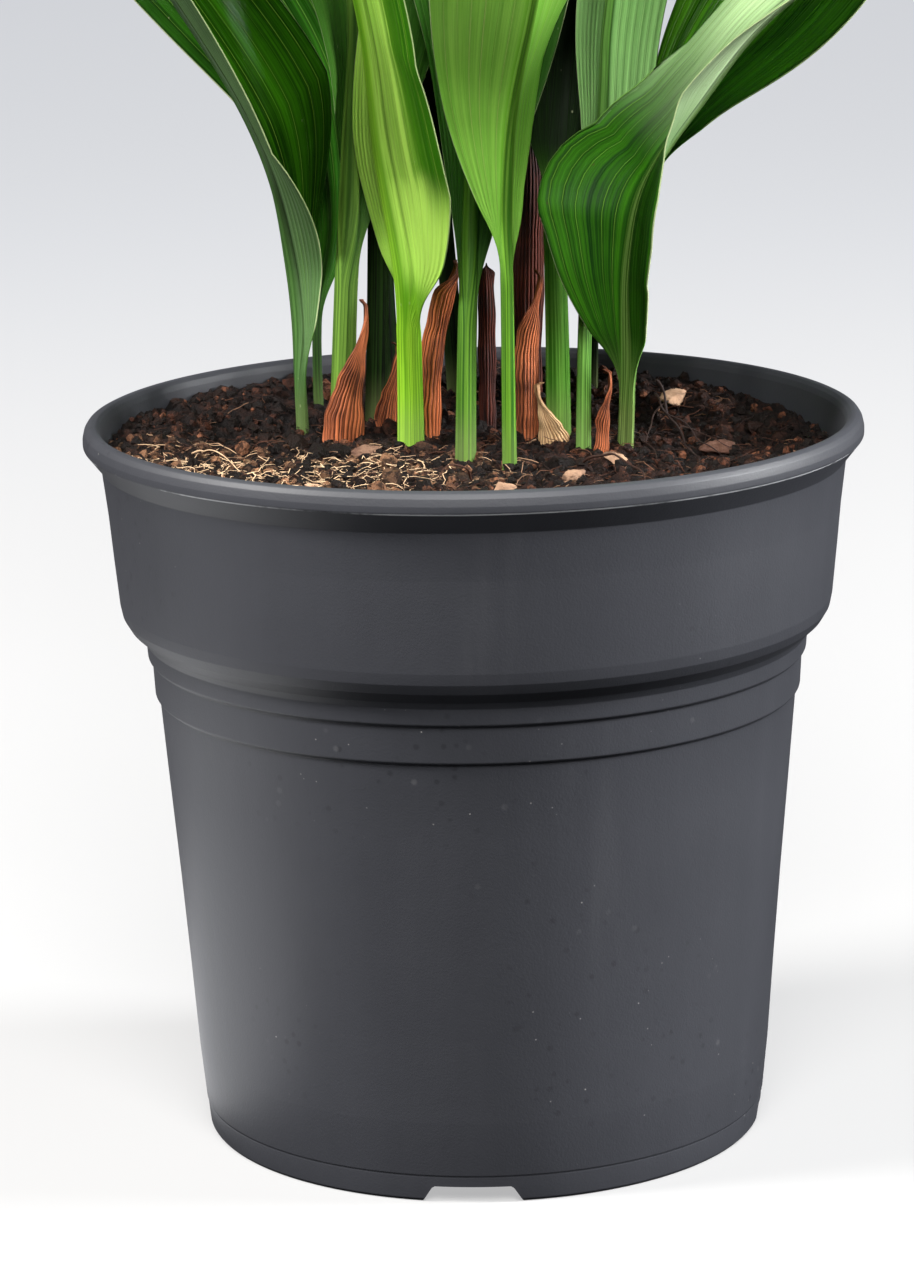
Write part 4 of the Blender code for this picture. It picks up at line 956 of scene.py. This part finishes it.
def fibre_rule(finish):
    """Bent threads of straw and root lying on the soil."""
    board, given = rule("loose_fibres", {"Density": "NodeSocketFloat", "Longest": "NodeSocketFloat",
                                         "Thickness": "NodeSocketFloat", "Seed": "NodeSocketInt"})
    line = board.add("GeometryNodeCurvePrimitiveLine", {}, {"Start": (-0.5, 0, 0), "End": (0.5, 0, 0)})
    line = board.add("GeometryNodeResampleCurve", {}, {"Curve": line, "Count": 6})
    ring = board.add("GeometryNodeCurvePrimitiveCircle", {},
                     {"Resolution": 3, "Radius": given["Thickness"]})
    shapes = []
    for k in range(7):
        bent = pulled(board, line, (k * 5.1, 2.3 * k, 1.0), 1.4, 2.0, 0.5, (0.3, 1.3, 0.7), (0.5, 0.5, 0.42))
        shapes.append(board.add("GeometryNodeCurveToMesh", {}, {"Curve": bent, "Profile Curve": ring,
                                                                "Fill Caps": True}))
    size = (spread(board, "FLOAT", 0.0, 1.0, 81) ** 1.8 + 0.28) * given["Longest"]
    turn = spread(board, "FLOAT_VECTOR", (-0.35, -0.35, 0), (0.35, 0.35, 6.28), 82)
    placed = picked_on_points(board, given, shapes, size, turn, given["Seed"], STRAW_FIBRES)
    return end_rule(board, placed, finish)


def flake_rule(finish):
    """Thin broken flakes of bark and leaf litter."""
    board, given = rule("loose_flakes", {"Density": "NodeSocketFloat", "Largest": "NodeSocketFloat",
                                         "Seed": "NodeSocketInt"})
    slab = board.add("GeometryNodeMeshCube", {}, {"Size": (2.0, 1.1, 0.32), "Vertices X": 3,
                                                  "Vertices Y": 3, "Vertices Z": 2})
    shapes = [pulled(board, slab, (k * 3.7, 4.0, 2.2 * k), 1.1, 2.0, 0.5, (1.9, 1.7, 1.2)) for k in range(4)]
    size = (spread(board, "FLOAT", 0.0, 1.0, 91) ** 2.0 + 0.25) * given["Largest"]
    turn = spread(board, "FLOAT_VECTOR", (-0.5, -0.5, 0), (0.5, 0.5, 6.28), 92)
    return end_rule(board, picked_on_points(board, given, shapes, size, turn, given["Seed"]), finish)


def scatter(soil, name, tree, settings, slot, margin):
    """Scatters loose pieces on the soil by a rule and keeps them as one mesh."""
    loose = grown_from(top_of(soil, name, margin), tree, settings)
    return place_piece(outward(loose), slot)


# Leaves

def smooth_route(points, per_span=24):
    """A smooth line through the points and the distance along it."""
    p = np.array(points, float)
    p = np.vstack([2 * p[0] - p[1], p, 2 * p[-1] - p[-2]])
    out = []
    for a, b, c, d in zip(p, p[1:], p[2:], p[3:]):
        ta = np.linalg.norm(b - a) ** 0.5
        tb = np.linalg.norm(c - b) ** 0.5
        tc = np.linalg.norm(d - c) ** 0.5
        start = (c - b) + tb * ((b - a) / ta - (c - a) / (ta + tb))
        end = (c - b) + tb * ((d - c) / tc - (d - b) / (tb + tc))
        for k in range(per_span):
            t = k / per_span
            out.append((2 * t ** 3 - 3 * t ** 2 + 1) * b + (t ** 3 - 2 * t ** 2 + t) * start
                       + (3 * t ** 2 - 2 * t ** 3) * c + (t ** 3 - t ** 2) * end)
    out.append(p[-2])
    out = np.array(out)
    return out, np.concatenate([[0], np.cumsum(np.linalg.norm(np.diff(out, axis=0), axis=1))])


def unit(v):
    """The vectors at length 1."""
    return v / np.linalg.norm(v, axis=-1, keepdims=True)


class LeafForm:
    """One leaf: a stalk that opens into a folded, pleated blade along a smooth line."""

    def __init__(self, route, face, neck, width, flare, stalk, fold, twist=((0, 0), (1, 0)), sides=(1, 1),
                 splay=((0, 0), (1, 0))):
        self.neck, self.width, self.flare, self.stalk = neck, width, flare, stalk
        self.fold, self.twist, self.sides, self.splay = fold, twist, sides, splay
        self.points, self.along = smooth_route(route)
        self.length = self.along[-1]
        self.tangents = unit(np.gradient(self.points, self.along, axis=0))
        up = np.array([math.cos(math.radians(face)), math.sin(math.radians(face)), 0.0])
        ups = []
        for tangent in self.tangents:
            up = unit(up - tangent * np.dot(up, tangent))
            ups.append(up)
        self.ups = np.array(ups)

    def frames(self, s):
        """Place, upward direction and sideways direction at each distance along the midrib."""
        at, t, n = (np.stack([np.interp(s, self.along, v[:, k]) for k in range(3)], -1)
                    for v in (self.points, self.tangents, self.ups))
        t = unit(t)
        n = unit(n - t * np.sum(n * t, -1, keepdims=True))
        share, degrees = zip(*self.twist)
        turn = np.radians(np.interp(s / self.length, share, degrees))[:, None]
        n = np.cos(turn) * n + np.sin(turn) * np.cross(t, n)
        return at, n, np.cross(t, n)

    def skins(self, s, across, curl=None, phase=0.0):
        """For each half: upper and lower points for each distance s and each step across from the midrib to
        the margin, then the share of the way across, how open the leaf is, and the distance to the margin."""
        at, n, side_way = self.frames(s)
        d = np.maximum(0.0, s - self.neck)
        f = np.minimum(1.0, d / (self.length - self.neck))
        blade = self.width * (1 - np.exp(-(d / self.flare) ** 1.5)) * (1 - f ** 2.6) ** 0.85
        open_ = ease((s - self.neck + LEAD) / OPENING)
        taper = self.stalk * 0.88 * (1 - 0.8 * np.minimum(1, f / 0.9) ** 0.6)
        a = np.where(s < self.neck, self.stalk * (1 - 0.12 * ease(s / self.neck)), np.maximum(0.07, taper))
        fold = np.radians(self.fold[0] + (self.fold[1] - self.fold[0]) * ease(f / 0.45)) * open_
        opened = np.radians(np.interp(s / self.length, *zip(*self.splay))) * open_
        halves = []
        for number, (side, scale, fold) in enumerate(zip((-1, 1), self.sides, (fold, fold - opened))):
            scale = 1 + (scale - 1) * (1 - ease(f / 0.6))
            half = a + np.maximum(0.03, blade * scale)
            rolls = curl is not None and curl[0] == number
            if rolls:
                share = np.clip((d - curl[3]) / (curl[4] - curl[3]), 0, 1)
                share = np.sin(np.pi * share) ** 0.6
                half = half + 0.45 * curl[1] * share
            q = across[None, :]
            flat = np.where(q <= 1, a[:, None] * q, a[:, None] + (half - a)[:, None] * (q - 1))
            x = a[:, None] * np.sin(q * np.pi / 4) * (1 - open_)[:, None] + flat * open_[:, None]
            way = (np.cos(fold) * side)[:, None] * side_way + np.sin(fold)[:, None] * n
            lift = (-np.sin(fold) * side)[:, None] * side_way + np.cos(fold)[:, None] * n
            round_ = np.sqrt(np.maximum(0.0, 1 - (x / a[:, None]) ** 2))
            w = np.maximum(0.0, q - 1) * np.ones_like(x)
            blade_share = open_[:, None]
            room = np.minimum(1, (half - a)[:, None] / 2.0)
            ridge = np.sqrt(np.sin(np.pi * VEINS * w) ** 2 + 0.015) - 0.5
            pleats = PLEAT * room * blade_share * ridge * ease(w * VEINS)
            swell = np.sin(s[:, None] * (0.55 + 0.1 * side) + phase + number)
            wave = WAVE * blade_share * room * w ** 2 * swell
            thick = THIN * (1 - 0.35 * ease((w - 0.9) / 0.1))
            dent = 0.10 * a[:, None] * blade_share * (1 - ease(q / 1.1))
            low = np.maximum(thick, a[:, None] * round_)
            crown = np.maximum(THIN, 0.35 * a[:, None] * round_)
            high = thick * blade_share + (1 - blade_share) * crown - dent
            over = pleats + wave
            if rolls:
                x, over = self.rolled(x, over, half[:, None], curl, share[:, None])
            base, up = at[:, None, :] + way[:, None, :] * x[..., None], lift[:, None, :]
            halves.append((base + up * (over + high)[..., None], base + up * (over - low)[..., None],
                           w, blade_share * np.ones_like(x), half[:, None] - x))
        return halves

    def rolled(self, x, over, half, curl, share):
        """Rolls the last part of the blade up and over towards its upper side."""
        reach, radius = curl[1] * share, curl[2]
        beyond = np.maximum(0.0, x - (half - reach))
        angle = beyond / radius
        return x - beyond + radius * np.sin(angle), over + radius * (1 - np.cos(angle))


def leaf_marks(form, number, side, under, q, s, half):
    """What the leaf's finish reads, on one half of one skin."""
    w, opened, edge = half[2:]
    return {"phase": np.where(q > 1, w * VEINS, q - 1), "along": s[:, None] - form.neck + 0 * w,
            "from_foot": s[:, None] + 0 * w, "under": under + 0 * w, "blade": opened, "edge": edge,
            "leaf_number": number * 3.1 + side * 0.7 + 0 * w, "across": (2 * side - 1) * w}


def two_skins(name, skins, marks, finish):
    """A closed sheet from two skins, each a grid of points, and from the values on them."""
    rows, count = skins[0].shape[:2]
    per, faces = 2 * count, []
    for i in range(rows - 1):
        a, b = i * per, (i + 1) * per
        faces += [(a + k, a + k + 1, b + k + 1, b + k) for k in range(count - 1)]
        faces += [(k + a + 1, k + a, k + b, k + b + 1) for k in range(count, per - 1)]
        faces += [(a + count, a, b, b + count), (a + count - 1, a + per - 1, b + per - 1, b + count - 1)]
    last = (rows - 1) * per
    faces += [(k, k + count, k + 1 + count, k + 1) for k in range(count - 1)]
    faces += [(last + k, last + k + 1, last + k + 1 + count, last + k + count) for k in range(count - 1)]
    marks = {key: np.concatenate(values, 1) for key, values in marks.items()}
    return mesh_piece(name, np.concatenate(skins, 1).reshape(-1, 3), faces, finish, marks)


def make_leaf(name, spec, number, finish):
    """One leaf: both halves of its upper and lower skin, joined along the midrib and the margins."""
    form = LeafForm(**spec)
    across = np.concatenate([np.linspace(0, 1, ROUND_STEPS + 1), 1 + np.linspace(0, 1, BLADE_STEPS + 1)[1:]])
    start = form.neck - LEAD
    low = np.linspace(0, start, max(10, int(form.neck * 2)))
    u = np.linspace(0, 1, LONG_STEPS) ** 1.25
    s = np.concatenate([low, start + (form.length - form.neck + LEAD) * TIP_SHARE * u[1:]])
    halves = form.skins(s, across, MARGIN_CURLS.get(name), number * 1.7)
    skins, marks = [], {}
    for under in (0, 1):
        left, right = (h[under] for h in halves)
        skins.append(np.concatenate([left[:, :0:-1], right], 1))
        left, right = (leaf_marks(form, number, side, under, across, s, h) for side, h in enumerate(halves))
        for key in left:
            marks.setdefault(key, []).append(np.concatenate([left[key][:, :0:-1], right[key]], 1))
    return place_piece(two_skins(name + "_grown", skins, marks, finish), "leaf", name)


# Sheaths, chips and strands

def make_sheath(name, number, finish, foot, top, radius, side, gap, point, lean, bow=(0, 0)):
    """A dry leaf base: a ribbed, rolled strip, open on one side, that narrows to a hooked point."""
    foot, top = np.array(foot), np.array(top)
    u = np.linspace(0, 1, SHEATH_ROWS)[:, None]
    v = np.linspace(-1, 1, SHEATH_ACROSS)[None, :]
    at = foot + (top - foot) * u[..., None] + np.array([*bow, 0]) * np.sin(np.pi * u)[..., None]
    keep = 1 - 0.93 * ease((u - point) / (1 - point)) ** 1.2
    ragged = 1 + 0.05 * np.sin(u * 23 + number) + 0.03 * np.sin(u * 57 + 2 * number)
    half = math.radians(180 - gap / 2) * keep * ragged
    angle = math.radians(side) + math.pi + math.radians(lean) * (1 - keep) + half * v
    flute = 0.030 * (np.abs(np.sin(np.pi * RIBS * (v + 1) / 2 + 0.5 * np.sin(u * 5 + number))) - 0.5)
    crumple = 0.035 * np.sin(u * 19 + 3 * v + number) * np.sin(u * 7 - 2 * v) * ease(u * 3)
    curl = 0.07 * ease((np.abs(v) - 0.8) / 0.2) * np.sin(u * 9 + number * 2)
    hook = 0.16 * ease((u - 0.93) / 0.07) ** 2
    values = {"ribs": RIBS * (v + 1) / 2 + 0.5 * np.sin(u * 5 + number) / np.pi + 0 * u,
              "along": u * np.linalg.norm(top - foot) + number * 9 + 0 * v, "height": u + 0 * v}
    skins = []
    for wall in (0.02, 0.07):
        r = radius[0] + (radius[1] - radius[0]) * u + wall
        r = r + (flute + crumple + curl) * np.minimum(1, u * 20) - hook
        x, y = at[..., 0] + r * np.cos(angle), at[..., 1] + r * np.sin(angle)
        skins.append(np.stack([x, y, at[..., 2] + 0.0 * angle - hook * 0.5], -1))
    marks = {key: [value, value] for key, value in values.items()}
    return place_piece(two_skins(name + "_ribbed", skins, marks, finish), "dry_sheath", name)


def make_chip(number, place, size, finish):
    """A bark chip: the hull of a few seeded points, with its skin broken up in layers."""
    rng = np.random.default_rng(SEED + 10 + number)
    turn = rng.uniform(0, math.pi)
    x, y = place
    z = float(soil_height(x, y)) + 0.12 * size[2]
    bm = bmesh.new()
    for _ in range(14):
        v = rng.normal(size=3)
        v /= np.linalg.norm(v)
        p = v * np.array(size) / 2 * rng.uniform(0.86, 1.0)
        bm.verts.new((x + p[0] * math.cos(turn) - p[1] * math.sin(turn),
                      y + p[0] * math.sin(turn) + p[1] * math.cos(turn), z + p[2]))
    bmesh.ops.convex_hull(bm, input=bm.verts)
    bmesh.ops.delete(bm, geom=[v for v in bm.verts if not v.link_faces], context="VERTS")
    bmesh.ops.subdivide_edges(bm, edges=bm.edges, cuts=7, use_grid_fill=True)
    for _ in range(2):
        bmesh.ops.smooth_vert(bm, verts=bm.verts, factor=0.4)
    bm.normal_update()
    for vert in bm.verts:
        at = vert.co
        layers = noise.fractal(Vector((at.x * 3, at.y * 3, at.z * 9)) + Vector((0, 0, number)), 0.6, 2.1, 5)
        vert.co = at + vert.normal * (0.045 * layers + 0.02)
    points = [tuple(v.co) for v in bm.verts]
    faces = [tuple(v.index for v in f.verts) for f in bm.faces]
    bm.free()
    name = f"bark_chip_{number + 1:02d}"
    made = mesh_piece(name + "_broken", points, faces, finish, {"tone": [CHIP_TONES[number]] * len(points)})
    return place_piece(made, "bark", name)


def tube(name, points, radii, finish, sides, marks=None):
    """A closed tube of round rings square to the line."""
    points = np.array(points, float)
    tangents = unit(np.gradient(points, axis=0))
    side = np.cross(tangents[0], (0.31, 0.95, 0.11))
    verts = []
    for at, along, radius in zip(points, tangents, radii):
        side = unit(side - along * np.dot(side, along))
        other = np.cross(along, side)
        for k in range(sides):
            angle = 2 * math.pi * k / sides
            verts.append(at + radius * (math.cos(angle) * side + math.sin(angle) * other))
    faces = []
    for i in range(len(points) - 1):
        faces += [(i * sides + k, i * sides + (k + 1) % sides, (i + 1) * sides + (k + 1) % sides,
                   (i + 1) * sides + k) for k in range(sides)]
    faces += [tuple(range(sides))[::-1], tuple((len(points) - 1) * sides + k for k in range(sides))]
    marks = {key: [value] * len(verts) for key, value in (marks or {}).items()}
    return mesh_piece(name, verts, faces, finish, marks)


def make_strand(number, route, radius, finish):
    """A loose root strand: a thin tube that wanders, tapers and follows the soil."""
    line, along = smooth_route(route, 14)
    share = along / along[-1]
    wander = np.stack([0.07 * np.sin(along * 4.1 + number), 0.07 * np.cos(along * 3.3 + 2 * number),
                       0.04 * np.sin(along * 5.2)], -1)
    radii = radius * (1.0 - 0.65 * share) * (1 + 0.15 * np.sin(along * 9 + number))
    line[:, 2] += soil_height(line[:, 0], line[:, 1]) - STRAND_LEVEL
    name, tone = f"root_strand_{number + 1:02d}", 0.22 + 0.05 * number
    return place_piece(tube(name, line + wander, radii, finish, 8, {"tone": tone}), "rootstock")


# Studio

def make_floor(finish):
    """A round pale floor, wide enough for a view from any side, that rises far out."""
    points = [(0.0, 0.0, 0.0)]
    for r in FLOOR_REACH * (np.arange(1, FLOOR_RINGS + 1) / FLOOR_RINGS) ** 2.2:
        rise = max(0.0, r - FLOOR_FLAT) ** 2 / 8.0
        points += [(r * math.cos(a), r * math.sin(a), rise)
                   for a in 2 * np.pi * np.arange(FLOOR_PARTS) / FLOOR_PARTS]
    mesh = bpy.data.meshes.new("studio_floor")
    mesh.from_pydata(points, [], disc_faces(FLOOR_RINGS, FLOOR_PARTS))
    mesh.materials.append(finish)
    floor = in_scene("studio_floor", mesh)
    floor.visible_glossy = False
    floor.visible_diffuse = False


def soft_light(name, at, aim, size, power, colour):
    """A round lamp at one place that shines at another."""
    lamp = bpy.data.lights.new(name, "AREA")
    lamp.shape = "DISK"
    lamp.size, lamp.energy, lamp.color = size, power, colour
    obj = in_scene(name, lamp)
    obj.location = at
    obj.rotation_euler = (Vector(aim) - Vector(at)).to_track_quat("-Z", "Y").to_euler()
    return obj


def make_studio():
    """Plain light from the air and the lamps, and the camera where the photograph was taken from."""
    scene = bpy.context.scene
    scene.view_settings.view_transform = "Standard"
    scene.view_settings.look = "None"
    world = bpy.data.worlds.new("studio_air")
    world.use_nodes = True
    air = world.node_tree.nodes["Background"]
    air.inputs["Color"].default_value = AIR_COLOUR
    air.inputs["Strength"].default_value = AIR_STRENGTH
    scene.world = world
    lamps = {name: soft_light(name, *facts) for name, facts in LIGHTS.items()}
    lamps["low_light"].visible_camera = False
    lens = bpy.data.cameras.new("photo_camera")
    lens.sensor_width, lens.lens = 36.0, CAMERA_LENS
    lens.clip_start, lens.clip_end = 0.05, 60.0
    p, y, r = CAMERA_PITCH, CAMERA_YAW, CAMERA_ROLL
    right = Vector((math.cos(y), -math.sin(y), 0))
    upward = Vector((math.sin(p) * math.sin(y), math.sin(p) * math.cos(y), math.cos(p)))
    ahead = Vector((math.cos(p) * math.sin(y), math.cos(p) * math.cos(y), -math.sin(p)))
    axes = Matrix((math.cos(r) * right - math.sin(r) * upward,
                   math.sin(r) * right + math.cos(r) * upward, -ahead))
    scene.camera = in_scene("photo_camera", lens)
    scene.camera.matrix_world = Matrix.Translation(CAMERA_AT) @ axes.transposed().to_4x4()


def main():
    finishes = {name: leaf_finish(name + "_skin", **looks) for name, looks in LEAF_LOOKS.items()}
    finishes.update({name: sheath_finish("sheath_" + name, *looks) for name, looks in SHEATH_LOOKS.items()})
    finishes.update({draw.__name__: material(draw.__name__, draw)
                     for draw in (pot_plastic, peat, crumb, fibre, bark, root_skin, pale_floor)})
    make_studio()
    make_floor(finishes["pale_floor"])
    make_pot(finishes["pot_plastic"])
    soil = make_soil(finishes["peat"])
    crumbs, fibres = crumb_rule(finishes["crumb"]), fibre_rule(finishes["fibre"])
    rules = (crumbs, crumbs, fibres, flake_rule(finishes["bark"]))
    for rule_used, (name, (settings, slot, margin)) in zip(rules, LOOSE.items()):
        scatter(soil, name, rule_used, settings, slot, margin)
    for number, (name, spec) in enumerate(LEAVES.items()):
        make_leaf(name, spec, number, finishes[name if name in LEAF_LOOKS else "leaf_12"])
    for number, (name, spec) in enumerate(SHEATHS.items()):
        make_sheath(name, number, finishes[SHEATH_SKINS[name]], **spec)
    for number, (place, size) in enumerate(CHIPS):
        make_chip(number, place, size, finishes["bark"])
    for number, (route, radius) in enumerate(STRANDS):
        make_strand(number, route, radius, finishes["fibre"])
    for slot in bpy.data.objects["rootstock"].material_slots:
        slot.material = finishes["root_skin"]


main()
